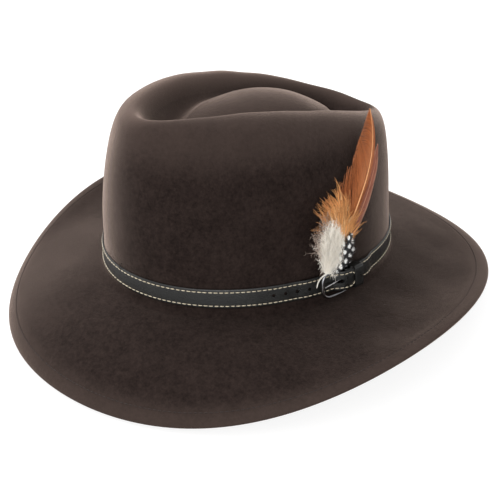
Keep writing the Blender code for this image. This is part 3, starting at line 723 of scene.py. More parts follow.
def make_felt(material):
    angles = FULL_TURN * np.arange(FELT_STATIONS) / FELT_STATIONS
    edge_part = brim_rows(angles)
    rows = np.concatenate([edge_part, crown_rows(angles)])
    count, r, n = len(edge_part), len(rows), FELT_STATIONS

    # The unevenness leaves out the turned edge and the crown's foot, where the strap lies
    even = EDGE_ROWS + 1
    rise = rows[count:, :, 2] - foot(angles)[:, 2]
    quiet = np.ones((r, n))
    quiet[:even] = 0
    quiet[even:even + EDGE_FADE] = np.linspace(0, 1, EDGE_FADE)[:, None]
    quiet[count - FOOT_FADE:count] = np.linspace(1, 0, FOOT_FADE)[:, None]
    quiet[count:] = smoothstep((rise - 0.018) / 0.02)
    rows = rows + grid_normals(rows) * (RIPPLE * ripple(rows) * quiet)[..., None]
    inner = rows - grid_normals(rows) * FELT
    middle = crown_top(np.zeros(1), 0.0)[0]
    ends = [middle, middle - UP * FELT]
    points = np.concatenate([rows.reshape(-1, 3), inner.reshape(-1, 3), ends])

    outer_faces = quads(r, n)
    inner_faces = outer_faces[:, ::-1] + r * n
    a, top = np.arange(n), (r - 1) * n
    b = (a + 1) % n
    lip = np.stack([a, a + r * n, b + r * n, b], -1)
    cap = np.stack([top + a, top + b, np.full(n, 2 * r * n)], -1)
    under = np.stack([top + b + r * n, top + a + r * n, np.full(n, 2 * r * n + 1)], -1)

    # Painted highlight: the felt is coloured paler at the brim's turned edge, towards the top of
    # the crown and along the crease, where light catches the surface
    worn = np.zeros((r, n))
    inset = np.linalg.norm((rows[:count] - brim_edge(angles))[..., :2], axis=-1)
    worn[:count] = PAINTED_EDGE_LIGHT * (1 - smoothstep(inset / PAINTED_EDGE_LIGHT_WIDTH))
    worn[count:] = PAINTED_TOP_LIGHT * smoothstep((rows[count:, :, 2] - PAINTED_TOP_LIGHT_FROM) / PAINTED_TOP_LIGHT_OVER)
    first, soft = count + WALL_ROWS, crease_softness(angles)
    # Painted highlight along the crease: narrow where the crease is sharp, broad where it is
    # rounded
    away = np.arange(-CREST_ZONE, CREST_ZONE + 1)[:, None] * CREST_STEP
    crease_highlight = np.exp(-((away / (0.0020 + 0.0080 * soft)) ** 2))
    worn[first:first + 2 * CREST_ZONE + 1] += (0.28 + 0.50 * soft) * crease_highlight

    felt = Solids()
    felt.add(points, [*outer_faces, *inner_faces, *lip, *cap, *under],
             worn=np.concatenate([worn.reshape(-1), np.zeros(r * n + 2)]))
    felt.piece("felt_hat", material, "hat", ["felt_body"])


def stitches(solids, line, normals, pitch, length, radius, jitter=0.0):
    """Single stitches along a line (k, 3). Each rises from its hole, lies on the face and goes
    back in."""
    lengths = arc_length(line)
    starts = np.arange(pitch * 0.5, lengths[-1] - length, pitch)
    share = np.linspace(0, 1, 7)
    at = starts[:, None] + length * share
    at = (at + rng.normal(0, jitter, (len(starts), 1))).reshape(-1)
    paths, facing = (resample(v, lengths, at).reshape(-1, 7, 3) for v in (line, normals))
    facing = unit(facing)
    arch = np.sin(math.pi * share) ** 0.6
    paths = paths + facing * (radius * 0.7 * (arch - 1))[:, None]
    widths = radius * (0.45 + 0.55 * arch)
    solids.sweep(paths, facing, widths, widths, CIRCLE[6], tone=rng.random((len(starts), 1)))


def make_brim_stitches(material):
    angles = np.linspace(0, FULL_TURN, 900)
    share = fold_share(angles, FOLD_WIDTH)
    along, up = brim_frame(angles, share)
    row = Solids()
    stitches(row, grooved(angles, share, share) + up * BRIM_STITCH[2] * 0.75, up, *BRIM_STITCH)
    row.piece("brim_stitches", material, "hat", ["brim_edge_stitching"])


# ---- hat band ----


def strap_frame(angle):
    """(middle, ahead, out, up) of the strap on the felt."""
    low = wall_above(angle, STRAP_ABOVE_FOOT)
    high = wall_above(angle, STRAP_ABOVE_FOOT + STRAP_WIDTH)
    up = unit(high - low)
    ahead = wall_above(angle + 0.01, STRAP_ABOVE_FOOT) - wall_above(angle - 0.01, STRAP_ABOVE_FOOT)
    out = unit(np.cross(ahead, up))
    return (low + high) / 2, np.cross(up, out), out, up


def side_angle(along):
    return math.pi / 2 + np.asarray(along, float) / (FOOT_Y + 0.001)


def on_strap(along, out, up):
    middle, _, outer, upward = strap_frame(side_angle(along))
    out, up = np.asarray(out, float), np.asarray(up, float)
    return middle + outer * out[..., None] + upward * up[..., None]


def belt_run(along, out, tip):
    """Angles, and heights off the felt: the fixed end as given, on round the hat, and down the
    free end to its tip."""
    start, end = side_angle(LIFTED_END), side_angle(-LIFTED_END) + FULL_TURN
    round_angles = np.linspace(start, end, 420)[1:-1]
    free = np.concatenate([np.linspace(-LIFTED_END, TIP_END - TIP_ROUND, 60), tip])
    angles = np.concatenate([side_angle(along), round_angles, side_angle(free)])
    lying = np.full(len(round_angles), LOW)
    return angles, np.concatenate([out, lying, level_table(FREE_END, free)])


def strap_line():
    """(middle, up, half width) down the whole strap, from its folded tail to its rounded tip."""
    bend = BAR_ALONG + FOLD_STRAIGHT
    tail = np.linspace(FOLD_END, bend, 18)[:-1]
    turn = np.linspace(0, math.pi, 16)
    fold = BAR_ALONG + FOLD_STRAIGHT * np.cos(turn) ** 8 - FOLD_TURN * np.sin(turn)
    back = np.linspace(bend, LIFTED_END, 40)[1:]
    into = np.sin(np.linspace(0, math.pi / 2, 14)[1:])
    along = np.concatenate([tail, fold, back])
    out = np.concatenate([np.full(len(tail), FOLD_LOW), BAR_OUT - FOLD_TURN * np.cos(turn),
                          level_table(FIXED_END, back)])
    angles, outs = belt_run(along, out, TIP_END - TIP_ROUND * (1 - into))
    half = np.full(len(angles), STRAP_WIDTH / 2)
    half[-len(into):] *= np.sqrt(np.maximum(0.004, 1 - into**2))
    middle, _, outer, up = strap_frame(angles)
    return middle + outer * outs[:, None], up, half


def strap_section():
    """Rounded edges, a slightly crowned outer face and a shallow groove under each seam."""
    half = STRAP_WIDTH / 2
    ring = []
    for x in np.linspace(1, -1, 25):
        groove = 0.12 * math.exp(-((abs(x) * half - half + SEAM_INSET) / 0.00045) ** 2)
        shoulder = 1 - max(0.0, abs(x) - 0.93) ** 2 / 0.07**2 * 0.75
        ring.append((x, (0.94 + 0.06 * (1 - x * x)) * shoulder - groove))
    for x in np.linspace(-1, 1, 9):
        ring.append((x * 0.99, -0.35 if abs(x) > 0.98 else -1.0))
    return np.array(ring)


def make_strap(material):
    middle, up, half = strap_line()
    out = unit(np.cross(unit(np.gradient(middle, axis=0)), up))
    strap = Solids()
    strap.sweep(middle, None, half, STRAP_THICK / 2, strap_section(), axes=(up, out))
    obj = strap.piece("belt_strap", material, "hat", ["hat_band_strap"], sharp=50)
    for i in range(HOLES):
        punch(obj, FIRST_HOLE - HOLE_PITCH * i, 0.0012, HOLE_WIDTH, HOLE_WIDTH, 0.0044)
    punch(obj, *PRONG_HOLE)
    punch(obj, *FOLD_SLOT)


def punch(obj, along, reach, length, width, depth):
    """Cuts a round-ended hole straight through the strap."""
    middle, ahead, outer, up = strap_frame(side_angle(along))
    outline = CIRCLE[16] * width / 2
    outline[:, 0] += np.sign(np.round(outline[:, 0], 7)) * (length - width) / 2
    layers = [middle + outer * (reach + side) + outline[:, :1] * ahead + outline[:, 1:] * up
              for side in (-depth / 2, depth / 2)]
    n = len(outline)
    faces = [tuple(range(n))[::-1], tuple(range(n, 2 * n)), *quads(2, n).tolist()]
    mesh = bpy.data.meshes.new("punch")
    mesh.from_pydata(place(np.concatenate(layers)).tolist(), [], faces)
    cutter = bpy.data.objects.new("punch", mesh)
    bpy.context.scene.collection.objects.link(cutter)
    modifier = obj.modifiers.new("punch", "BOOLEAN")
    modifier.operation, modifier.object = "DIFFERENCE", cutter
    depsgraph = bpy.context.evaluated_depsgraph_get()
    depsgraph.update()
    cut_mesh = bpy.data.meshes.new_from_object(obj.evaluated_get(depsgraph))
    obj.modifiers.clear()
    obj.data = cut_mesh
    bpy.data.objects.remove(cutter)


def seam_line(side):
    """The line of one row of stitches: round the hat, down the free end and round its tip."""
    proud = STRAP_THICK / 2 * 0.9 + STRAP_STITCH[2] * 0.55
    back = np.linspace(KEEPER_TO + 0.001, LIFTED_END, 30)
    turn = np.linspace(0, math.pi / 2, 10)[1:]
    tip = TIP_END - TIP_ROUND + (TIP_ROUND - SEAM_INSET) * np.sin(turn)
    angles, outs = belt_run(back, level_table(FIXED_END, back), tip)
    across = np.full(len(angles), (STRAP_WIDTH / 2 - SEAM_INSET) * side)
    across[-len(turn):] *= np.cos(turn)
    middle, _, outer, up = strap_frame(angles)
    line = middle + outer * outs[:, None]
    normals = unit(np.cross(unit(np.gradient(line, axis=0)), up))
    return line + up * across[:, None] + normals * proud, normals


def make_strap_stitches(material):
    for name, side in (("upper", 1), ("lower", -1)):
        row = Solids()
        stitches(row, *seam_line(side), *STRAP_STITCH, jitter=0.00008)
        row.piece(f"strap_stitches_{name}", material, "hat",
                  [f"strap_stitching_{name}"])


def make_tacks(material):
    for i, angle in enumerate((0.0, math.pi, 1.5 * math.pi)):
        middle, ahead, outer, up = strap_frame(angle)
        edge = middle + up * STRAP_WIDTH / 2
        path = through_points([edge + outer * out + up * rise for out, rise in TACK], 16)
        tack = Solids()
        tack.sweep(path, ahead, TACK_RADIUS, TACK_RADIUS, CIRCLE[8])
        tack.piece(f"tack_{i + 1}", material, "hat", [f"band_tack_{i + 1}"])


# ---- buckle and keeper ----


def frame_point(along, height):
    """A point of the buckle frame's own curved face, by the distance from its hinge bar."""
    share = np.asarray(along, float) / BAR_SPAN
    out = BAR_OUT + (OUTER_BAR_OUT - BAR_OUT) * share + FRAME_ARCH * np.sin(math.pi * share)
    return on_strap(BAR_ALONG - along, out, height)


def make_buckle(material):
    """A D: a round hinge bar, and a half-round rail that is broadest at the outer bar."""
    turn = np.linspace(0, math.pi / 2, 12)
    straight = np.linspace(0, BAR_SPAN - FRAME_CORNER, 16)[:-1]
    side = np.concatenate([straight, BAR_SPAN - FRAME_CORNER * (1 - np.sin(turn))])
    half = np.concatenate([np.full(15, FRAME_HALF), FRAME_HALF - FRAME_CORNER * (1 - np.cos(turn))])
    outer_bar = np.linspace(FRAME_HALF - FRAME_CORNER, FRAME_CORNER - FRAME_HALF, 12)[1:-1]
    hinge_bar = np.linspace(-FRAME_HALF, FRAME_HALF, 22)[1:-1]
    along = np.concatenate([side, np.full(10, BAR_SPAN), side[::-1], np.zeros(20)])
    height = np.concatenate([half, outer_bar, -half[::-1], hinge_bar])
    line = frame_point(along, height)
    for _ in range(3):
        line = 0.25 * np.roll(line, 1, 0) + 0.5 * line + 0.25 * np.roll(line, -1, 0)
    facing = strap_frame(side_angle(BAR_ALONG - along))[2]
    widths = FRAME_WIRE * (1.0 + 0.12 * along / BAR_SPAN)
    ring = np.array([(math.cos(t), math.sin(t) * (1.0 if math.sin(t) > 0 else 0.75))
                     for t in np.linspace(0, FULL_TURN, 14, endpoint=False)])
    buckle = Solids()
    buckle.sweep(line, facing, widths, FRAME_WIRE, ring, closed=True)
    buckle.piece("buckle_rail", material, "buckle", ["buckle_frame"], sharp=60)


def make_prong(material):
    """A wire hooked round the hinge bar, with a tapered tip that lies on the outer bar."""
    grip = FRAME_WIRE + GAP + PRONG_RADIUS
    pivot = frame_point(0.0, 0.0)
    tip = frame_point(BAR_SPAN, 0.0) + strap_frame(side_angle(OUTER_BAR_ALONG))[2] * grip
    up = strap_frame(side_angle(BAR_ALONG))[3]
    towards = unit(tip - pivot)
    side = unit(np.cross(towards, up))
    turns = np.radians(np.linspace(330, 45, 26))[:, None]
    hook = pivot + grip * (side * np.cos(turns) + towards * np.sin(turns))
    shank = hook[-1] + (tip - hook[-1]) * np.linspace(0, 0.97, 22)[1:, None]
    line = smoothed(np.concatenate([hook, shank]), 2)
    radius = PRONG_RADIUS * (1 - 0.25 * np.concatenate([np.zeros(26), np.linspace(0, 1, 22)[1:]]))
    radius[-3:] *= (0.92, 0.75, 0.35)
    radius[:2] *= (0.5, 0.85)
    prong = Solids()
    prong.sweep(line, up, radius, radius, CIRCLE[12])
    prong.piece("prong_wire", material, "prong", ["buckle_prong"])


def make_keeper(material):
    """A leather loop with rounded corners and edges."""
    clear = GAP + KEEPER_WALL / 2
    low = FOLD_LOW - STRAP_THICK / 2 - clear
    high = float(level_table(FREE_END, KEEPER_FROM)) + STRAP_THICK / 2 + clear
    outline = rounded_bar(STRAP_WIDTH / 2 + clear, (high - low) / 2, 0.0011, steps=6)
    outline = densify(outline, 0.0008)
    middle, ahead, outer, up = strap_frame(side_angle((KEEPER_FROM + KEEPER_TO) / 2))
    line = middle + outer * ((high + low) / 2 + outline[:, 1:]) + up * outline[:, :1]
    out = unit(np.cross(unit(np.roll(line, -1, 0) - np.roll(line, 1, 0)), ahead))
    ring = rounded_bar((KEEPER_TO - KEEPER_FROM) / 2, KEEPER_WALL / 2, 0.0003)
    keeper = Solids()
    keeper.sweep(line, None, 1.0, 1.0, ring, closed=True, axes=(ahead, out))
    keeper.piece("keeper", material, "keeper", ["keeper_loop"], sharp=60)


def densify(outline, step):
    closed = np.concatenate([outline, outline[:1]])
    lengths = arc_length(closed)
    at = np.linspace(0, lengths[-1], int(lengths[-1] / step), endpoint=False)
    return resample(closed, lengths, at)


# ---- sweatband ----


def make_sweatband(leather, thread, ribbon, tab):
    angles = FULL_TURN * np.arange(SWEAT_STATIONS) / SWEAT_STATIONS
    back, face = FELT + SWEAT_GAP, FELT + SWEAT_GAP + SWEAT_THICK
    section = [(rise, back) for rise in np.linspace(SWEAT_FOOT, SWEAT_HEIGHT, 12)]
    section.append((SWEAT_HEIGHT + 0.0003, (back + face) / 2))
    section += [(rise, face) for rise in np.linspace(SWEAT_HEIGHT, SWEAT_FOOT, 12)]
    section.append((0.0, (back + face) / 2))
    rings = np.stack([inside(angles, rise, depth) for rise, depth in section])
    band = Solids()
    band.add(rings, quads(len(section), SWEAT_STATIONS, True))
    band.piece("sweatband_leather_band", leather, "hat", ["sweatband"],
               sharp=50)

    reed = Solids()
    line = inside(angles, 0.0, back + REED_RADIUS) - UP * (REED_RADIUS + GAP)
    reed.sweep(line, UP, REED_RADIUS, REED_RADIUS, CIRCLE[12], closed=True)
    reed.piece("reed_cord", leather, "hat", ["sweatband_reed"])

    angles = np.linspace(0, FULL_TURN, 600)
    row = Solids()
    line = inside(angles, SWEAT_STITCH_RISE, face + 0.00018)
    stitches(row, line, -outward(angles), *SWEAT_STITCH)
    row.piece("sweatband_stitches", thread, "hat", ["sweatband_stitching"])
    make_bow(face, ribbon)
    make_tab(face, tab)


def make_bow(depth, material):
    """A small bow of flat ribbon: two loops, a knot and two tails."""
    back = inside(math.pi, BOW_RISE, depth)
    inner = np.array([0.0, -1.0, 0.0])
    across = unit(np.array([0.0, -0.92, 0.35]))
    flat = rounded_bar(1, 1, 0.3, 2)
    turn = np.linspace(0, FULL_TURN, 30)
    bow = Solids()
    for side in (-1, 1):
        loop = back + vec(side * (0.0048 - 0.0044 * np.cos(turn)),
                          -0.0016 - 0.0010 * np.sin(turn / 2), 0.0022 * np.sin(turn) + 0.0010)
        out = unit(np.cross(np.gradient(loop, axis=0), across))
        bow.sweep(loop, None, 0.0009, 0.00012, flat, axes=(across, out))
        tail = ((0.0, -0.0016, 0.0005), (side * 0.0020, -0.0020, -0.0022),
                (side * 0.0038, -0.0014, -0.0058))
        bow.sweep(through_points(back + np.array(tail), 12), inner, 0.0011, 0.00012, flat)
    knot = back + vec(0.0, -0.0018, np.linspace(-0.0008, 0.0022, 9))
    fat = np.sin(np.linspace(0.25, math.pi - 0.25, 9))
    bow.sweep(knot, inner, 0.0013 * fat, 0.0011 * fat, CIRCLE[12])
    bow.piece("ribbon_bow", material, "hat", ["sweatband_bow"])


def make_tab(depth, material):
    """A blank woven tab, sewn in by its upper edge."""
    inner = -outward(TAB_ANGLE)
    rows = np.linspace(TAB_HALF_HEIGHT, -TAB_HALF_HEIGHT, 12)
    curl = TAB_CURL * (np.linspace(0, 1, 12) ** 2 - 0.5)
    middle = inside(TAB_ANGLE, TAB_RISE, depth + TAB_STAND)
    tab = Solids()
    tab.sweep(middle + UP * rows[:, None] + inner * curl[:, None], None, 1.0, 1.0,
              rounded_bar(0.006, 0.0002, 0.00015), axes=(unit(np.cross(UP, inner)), inner))
    tab.piece("blank_tab", material, "hat", ["size_tab"], sharp=60)


# ---- feathers ----


def at_feather(points):
    """From (along, side, out) in the feathers' plane to the hat's frame. Layers that stand further
    out also lie further forward."""
    along, side, out = np.moveaxis(points, -1, 0)[..., None]
    along, side = along - FEATHER_DROP * out, side - FEATHER_LEAN * out
    return FEATHER_ORIGIN + FEATHER_ALONG * along + FEATHER_SIDE * side + FEATHER_OUT * out


def on_spine(spine, along, side, out):
    return np.stack([along, through(spine, along, 1) + side, through(spine, along, 2) + out], -1)


def barbs(solids, line, widths, depth, tone):
    """Barbs (n, k, 3) in the feathers' plane. Their marks say where each point is on its barb."""
    reach = np.linspace(0, 1, line.shape[1])
    solids.sweep(at_feather(line), FEATHER_OUT, widths, depth, BARB, reach=reach,
                 tone=tone[:, None], shaft=0.0, along=line[..., 0], side=line[..., 1])


def vane(solids, spine, pitch, lean, loose_below, width=0.00030, camber=0.0012):
    """Barbs on both sides of a shaft. lean is their angle to it. Below loose_below they fray."""
    low, tip = spine[0][0], spine[-1][0]
    t = np.linspace(0, 1, 9)[:, None]
    for sign, column in ((-1, 3), (1, 4)):
        roots = np.arange(low, tip - 0.0008, pitch)
        n = len(roots)
        frayed = smoothstep((loose_below - roots) / 0.012)
        clumps = np.arange(low, tip + 0.01, CLUMP_PITCH)
        clump = np.interp(roots, clumps, rng.normal(0, 1, len(clumps)))
        angle = lean * (1 + 0.05 * clump + 0.10 * frayed * rng.normal(0, 1, n))
        ends = roots.copy()
        for _ in range(8):
            ends = roots + through(spine, np.minimum(ends, tip), column) / np.tan(angle)
            ends = np.minimum(ends, tip - 0.0002)
        reach = 1 + 0.015 * rng.normal(0, 1, n) - 0.30 * frayed * rng.random(n)
        reach = through(spine, ends, column) * reach
        root = on_spine(spine, roots, 0.0, 0.00015)
        end = on_spine(spine, ends, sign * reach, -camber)
        length = np.linalg.norm(end - root, axis=-1, keepdims=True)
        steep = vec(np.cos(angle * 1.35), sign * np.sin(angle * 1.35), 0.10)
        bend = root + steep * length * 0.5
        root, bend, end = root[:, None], bend[:, None], end[:, None]
        line = root * (1 - t) ** 2 + bend * (2 * t * (1 - t)) + end * t**2
        wander = rng.normal(0, 1, (n, 1, 3)) * np.array([0.0012, 0.0012, 0.0006])
        line = line + wander * frayed[:, None, None] * t**2
        line[..., 2] += (0.00012 * rng.normal(0, 1, n))[:, None] * t[:, 0]
        narrow = width * (1 - 0.35 * frayed)[:, None] * (1 - 0.72 * t[:, 0] ** 2)
        barbs(solids, line, narrow, width * 0.5, np.clip(rng.normal(0.35, 0.2, n), 0, 1))


def blade(name, material, slot, replaced, spine, pitch, lean, loose_below, thick, low=None,
          **vane_shape):
    """A whole feather: its vane, and a shaft that tapers to its tip."""
    feather = Solids()
    vane(feather, spine, pitch, math.radians(lean), loose_below, **vane_shape)
    along = np.linspace(low or spine[0][0], spine[-1][0], 40)
    radius = thick * (1 - 0.85 * np.linspace(0, 1, 40) ** 1.2)
    line = at_feather(on_spine(spine, along, 0.0, thick * 0.35))
    feather.sweep(line, FEATHER_OUT, radius, radius * 0.8, CIRCLE[8], reach=0.0, tone=0.0,
                  shaft=1.0, along=along, side=0.0)
    feather.piece(name, material, "feather_mount", [replaced])


def beside(directions):
    return vec(-directions[:, 1], directions[:, 0], 0.0)


def wisps(solids, roots, directions, lengths, curl, tone, width, points=10, droop=0.0):
    """Loose barbs. Each starts at a root (along, side, out), and bends off its direction."""
    n = len(roots)
    t = np.linspace(0, 1, points)
    step, lengths, curl = beside(directions)[:, None], lengths[:, None], curl[:, None]
    line = (roots[:, None] + directions[:, None] * (lengths * t)[..., None]
            + step * (curl * lengths * t**2)[..., None])
    line[..., 2] -= droop * lengths * t**2
    shiver = np.sin(t * rng.uniform(5, 10, (n, 1)) + rng.uniform(0, 6.28, (n, 1)))
    line = line + step * (shiver * 0.018 * lengths * t)[..., None]
    barbs(solids, line, width * (1 - 0.8 * t), width * 0.7, tone)
    return line


def hairs(solids, lines, per_line, length, width, tone_high):
    """Fine hairs off each barb, to both sides."""
    n, k = lines.shape[:2]
    pick = np.repeat(np.arange(n), per_line)
    count = len(pick)
    where = rng.uniform(0.1, 1.0, count) * (k - 1)
    low = np.minimum(where.astype(int), k - 2)
    part = (where - low)[:, None]
    start, end = lines[pick, low], lines[pick, low + 1]
    ahead = unit(end - start)
    side = beside(ahead) * rng.choice([-1.0, 1.0], count)[:, None]
    directions = ahead * rng.uniform(0.3, 1.0, (count, 1)) + side
    directions = unit(directions + UP * rng.normal(0.1, 0.35, (count, 1)))
    lengths = length * rng.uniform(0.5, 1.1, count)
    wisps(solids, start * (1 - part) + end * part, directions, lengths,
          rng.normal(0, 0.35, count), rng.uniform(0, tone_high, count), width, points=5)


def make_hackle(material):
    """Golden barbs of a few soft feathers. They sweep up and out in fine locks, and curl over."""
    hackle = Solids()
    n = HACKLE_LOCK
    for root_along, root_side, low, high, locks, length, curl in HACKLE_FANS:
        for _ in range(locks):
            angle = math.radians(rng.uniform(low, high))
            spread = rng.normal(0, 0.00045, n)[:, None]
            ahead = vec(math.cos(angle), math.sin(angle), 0.0)
            aside = vec(-math.sin(angle), math.cos(angle), 0.0)
            reach = length * rng.uniform(0.45, 1.08) * rng.uniform(0.75, 1.0, n)
            root = vec(root_along + rng.normal(0, 0.0032), root_side + rng.normal(0, 0.0030),
                       rng.uniform(0.0080, 0.0096))
            directions = ahead - aside * spread / length * 0.8
            directions = unit(directions + UP * rng.normal(0.03, 0.02, (n, 1)))
            bend = curl * rng.uniform(0.5, 1.8) + rng.normal(0, 0.04, n)
            tone = np.clip(rng.normal(0.18, 0.26) + rng.normal(0, 0.10, n), 0, 1)
            wisps(hackle, root + aside * spread, directions, reach, bend, tone, 0.00015, 12, 0.02)
    hackle.piece("golden_hackle", material, "feather_mount", ["feather_hackle"])


def make_plume(material, smoke):
    """Cream down: soft barbs with hairs of their own, massed into a plump tuft, and smoky wisps."""
    plume = Solids()
    n = DOWN_BARBS
    along = rng.uniform(-0.001, 0.021, n)
    width = 0.0012 + 0.0050 * smoothstep((along + 0.002) / 0.013)
    width -= 0.0025 * smoothstep((along - 0.013) / 0.010)
    across = rng.uniform(-1, 1, n)
    side = -0.0026 - 0.07 * along + width * across
    angle = 0.8 * across + rng.normal(0.0, 1, n) * (0.3 + 0.45 * smoothstep(along / 0.012))
    angle = np.clip(angle, -1.2, 1.2)
    directions = vec(np.cos(angle), np.sin(angle), rng.normal(0.05, 0.22, n))
    lengths = rng.uniform(0.0040, 0.0105, n)
    roots = vec(along, side, rng.uniform(0.0116, 0.0152, n))
    lines = wisps(plume, roots, directions, lengths, rng.normal(0, 0.3, n),
                  0.28 * rng.random(n) ** 3, 0.00026, droop=0.1)
    hairs(plume, lines, 13, 0.0036, 0.00009, 0.12)
    plume.piece("marabou_down", material, "feather_mount", ["marabou_plume"])

    front = Solids()
    n = WISP_BARBS
    angle = np.radians(rng.uniform(-100, -24, n))
    directions = vec(np.cos(angle), np.sin(angle), rng.normal(0.0, 0.1, n))
    roots = vec(rng.uniform(0.005, 0.022, n), rng.uniform(-0.011, -0.004, n),
                rng.uniform(0.0116, 0.0132, n))
    lines = wisps(front, roots, directions, rng.uniform(0.008, 0.0165, n),
                  rng.normal(0.1, 0.25, n), rng.uniform(0, 0.6, n), 0.00019, droop=0.05)
    hairs(front, lines, 9, 0.0022, 0.00007, 0.8)
    front.piece("marabou_wisps", smoke, "feather_mount")


def make_stem(thread, quill):
    """The bound stem: flat quills tucked behind the strap, wound with thread above it."""
    middle, ahead, outer, up = strap_frame(side_angle(STEM_ALONG))
    top = STRAP_WIDTH / 2
    stations = np.array([  # height, out, half width, half thickness
        (-0.0040, 0.0008, 0.0015, 0.000340),
        (0.0, 0.0008, 0.0022, 0.000425),
        (top, 0.0008, 0.0024, 0.000425),
        (top + 0.0012, 0.0011, 0.0024, 0.000595),
        (top + 0.0035, 0.0030, 0.0026, 0.001870),
        (top + 0.0060, 0.0050, 0.0028, 0.002550),
        (top + 0.0085, 0.0066, 0.0024, 0.002040),
    ])
    rises = np.linspace(stations[0, 0], stations[-1, 0], 30)
    out, half, deep = resample(stations[:, 1:], stations[:, 0], rises).T
    stem = Solids()
    stem.sweep(middle + outer * out[:, None] + up * rises[:, None], None, half * 0.92, deep * 0.9,
               CIRCLE[12], axes=(-ahead, outer))
    rises = np.linspace(top + 0.0025, top + 0.0080, 200)
    turn = np.linspace(0, FULL_TURN * 9, 200)
    out, half, deep = resample(stations[:, 1:], stations[:, 0], rises).T
    wound = middle + outer * (out + deep * np.sin(turn))[:, None] + up * rises[:, None]
    wound = wound + ahead * (half * np.cos(turn))[:, None]
    stem.sweep(wound, up, 0.00030, 0.00030, CIRCLE[6])
    stem.piece("bound_stem", thread, "feather_mount", ["feather_stem"])

    radius = QUILL_RADIUS * (1 - 0.35 * np.linspace(0, 1, 30))
    radius[-2:] *= (0.7, 0.35)
    loose = Solids()
    loose.sweep(through_points([on_strap(*spot) for spot in QUILL], 30), outer, radius, radius,
                CIRCLE[8])
    loose.piece("white_quill", quill, "feather_mount", ["marabou_quill"])


# ---- studio ----


def make_floor():
    bpy.ops.mesh.primitive_circle_add(vertices=96, radius=4.0, fill_type="NGON",
                                      location=(0, 0, -0.0003))
    floor = bpy.context.object
    floor.name = "studio_floor"
    f = Finish("studio_floor", Roughness=0.9, Specular_IOR_Level=0.1,
               Base_Color=rgba((0.30, 0.30, 0.30)), Emission_Color=rgba((1.0, 1.0, 1.0)),
               Emission_Strength=0.82)
    floor.data.materials.append(f.material)


def make_world():
    """White surroundings that are brighter on one side."""
    world = bpy.data.worlds.new("studio")
    bpy.context.scene.world = world
    world.use_nodes = True
    tree = world.node_tree
    background = tree.nodes["Background"]
    background.inputs["Color"].default_value = rgba((1.0, 1.0, 1.0))
    direction = node(tree, "TexCoord", {}).outputs["Generated"]
    facing = node(tree, "VectorMath", {0: direction, 1: tuple(unit(np.array(SUN_SIDE)))},
                  operation="DOT_PRODUCT").outputs["Value"]
    inputs = {"Value": facing, "From Min": -0.3, "From Max": 1.0, "To Min": WORLD_DARK,
              "To Max": WORLD_LIGHT}
    strength = node(tree, "MapRange", inputs, interpolation_type="SMOOTHSTEP").outputs[0]
    tree.links.new(strength, background.inputs["Strength"])


def stand(name, data, right, up, back, spot):
    """An object at spot that looks along -back."""
    obj = bpy.data.objects.new(name, data)
    bpy.context.scene.collection.objects.link(obj)
    obj.matrix_world = Matrix([*np.stack([right, up, back, spot], -1).tolist(), (0, 0, 0, 1)])
    return obj


def area_light(name, spot, aim, size, power):
    data = bpy.data.lights.new(name, "AREA")
    data.shape, data.size, data.size_y = "RECTANGLE", *size
    data.energy = power
    back = unit(np.array(spot) - np.array(aim))
    right = unit(np.cross(UP, back))
    stand(name, data, right, np.cross(back, right), back, spot)


def make_camera():
    """At the wearer's front left, a little above the crown."""
    right = vec(math.cos(CAMERA_AZIMUTH), math.sin(CAMERA_AZIMUTH), 0.0)
    level = vec(math.sin(CAMERA_AZIMUTH), -math.cos(CAMERA_AZIMUTH), 0.0)
    back = level * math.cos(CAMERA_ELEVATION) + UP * math.sin(CAMERA_ELEVATION)
    up = np.cross(back, right)
    spot = UP * AIM_RISE + right * AIM_RIGHT + up * AIM_UP + back * CAMERA_DISTANCE
    data = bpy.data.cameras.new("camera")
    data.lens, data.sensor_width = CAMERA_LENS, CAMERA_SENSOR
    axes = (place(v) - place(np.zeros(3)) for v in (right, up, back))
    bpy.context.scene.camera = stand("camera", data, *axes, place(spot))


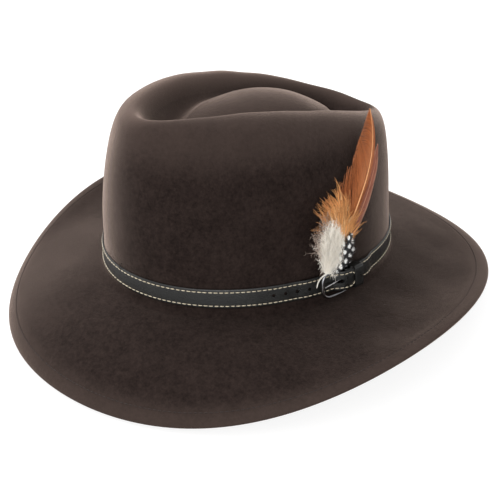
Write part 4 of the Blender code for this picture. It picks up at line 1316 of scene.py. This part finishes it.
def main():
    leather = leather_finish("strap_leather", (0.0030, 0.0032, 0.0030),
                             (0.0072, 0.0074, 0.0068), 0.34)
    band = leather_finish("sweatband_leather", (0.045, 0.024, 0.014), (0.080, 0.046, 0.028),
                          0.48, 700.0)
    cream = thread_finish("cream_thread", (0.42, 0.35, 0.24), (0.72, 0.64, 0.48))
    brown = thread_finish("brown_thread", (0.012, 0.008, 0.007), (0.036, 0.025, 0.021), 0.0)
    winding = thread_finish("wound_thread", (0.06, 0.035, 0.022), (0.14, 0.09, 0.06))
    ribbon = ribbon_finish("ribbon", (0.018, 0.012, 0.010), (0.050, 0.035, 0.028))
    tab = ribbon_finish("tab_cloth", (0.020, 0.017, 0.015), (0.050, 0.044, 0.040))
    orange = feather_finish("orange_feather", (0.50, 0.175, 0.056), (0.38, 0.112, 0.033),
                            (0.37, 0.122, 0.043), (0.80, 0.42, 0.20))
    pinkish = feather_finish("brown_feather", (0.26, 0.085, 0.050), (0.30, 0.10, 0.060),
                             (0.62, 0.36, 0.25), (0.50, 0.25, 0.15))
    gold = feather_finish("gold_hackle", (0.95, 0.62, 0.34), (0.90, 0.43, 0.16),
                          (0.66, 0.27, 0.10), (0.80, 0.50, 0.24))
    down = feather_finish("cream_down", (0.97, 0.89, 0.76), (0.98, 0.92, 0.81),
                          (0.96, 0.88, 0.76), (0.90, 0.85, 0.75), rough=0.8, sheen=0.9)
    smoke = feather_finish("smoky_down", (0.86, 0.76, 0.64), (0.52, 0.40, 0.32),
                           (0.22, 0.15, 0.12), (0.6, 0.5, 0.4), rough=0.8, sheen=0.4)

    make_felt(felt_finish())
    make_brim_stitches(brown)
    make_strap(leather)
    make_strap_stitches(cream)
    make_tacks(brown)
    make_buckle(metal_finish("gunmetal", (0.21, 0.21, 0.22), 0.17))
    make_prong(metal_finish("bright_prong", (0.56, 0.56, 0.57), 0.20))
    make_keeper(leather)
    make_sweatband(band, brown, ribbon, tab)
    blade("orange_feather", orange, "feather_orange", "feather_large", LARGE, 0.00030, 31, 0.061,
          0.00075, low=0.007)
    blade("brown_feather", pinkish, "feather_brown", "feather_rear", REAR, 0.00034, 27, 0.030,
          0.00055, camber=0.0004)
    make_hackle(gold)
    make_plume(down, smoke)
    blade("spotted_feather", spotted_finish(), "feather_spotted", "guinea_feather", GUINEA,
          0.00028, 40, 0.030, 0.00035, camber=0.0008, width=0.00026)
    make_stem(winding, quill_finish())
    steel = metal_finish("steel_wire", (0.45, 0.45, 0.46), 0.32)
    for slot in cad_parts["brim_wire"].material_slots:  # the wire keeps its CAD shape
        slot.material = steel

    make_floor()
    make_world()
    for light in LIGHTS:
        area_light(*light)
    make_camera()
    settings = bpy.context.scene.view_settings
    settings.view_transform, settings.look = "Standard", "None"


main()
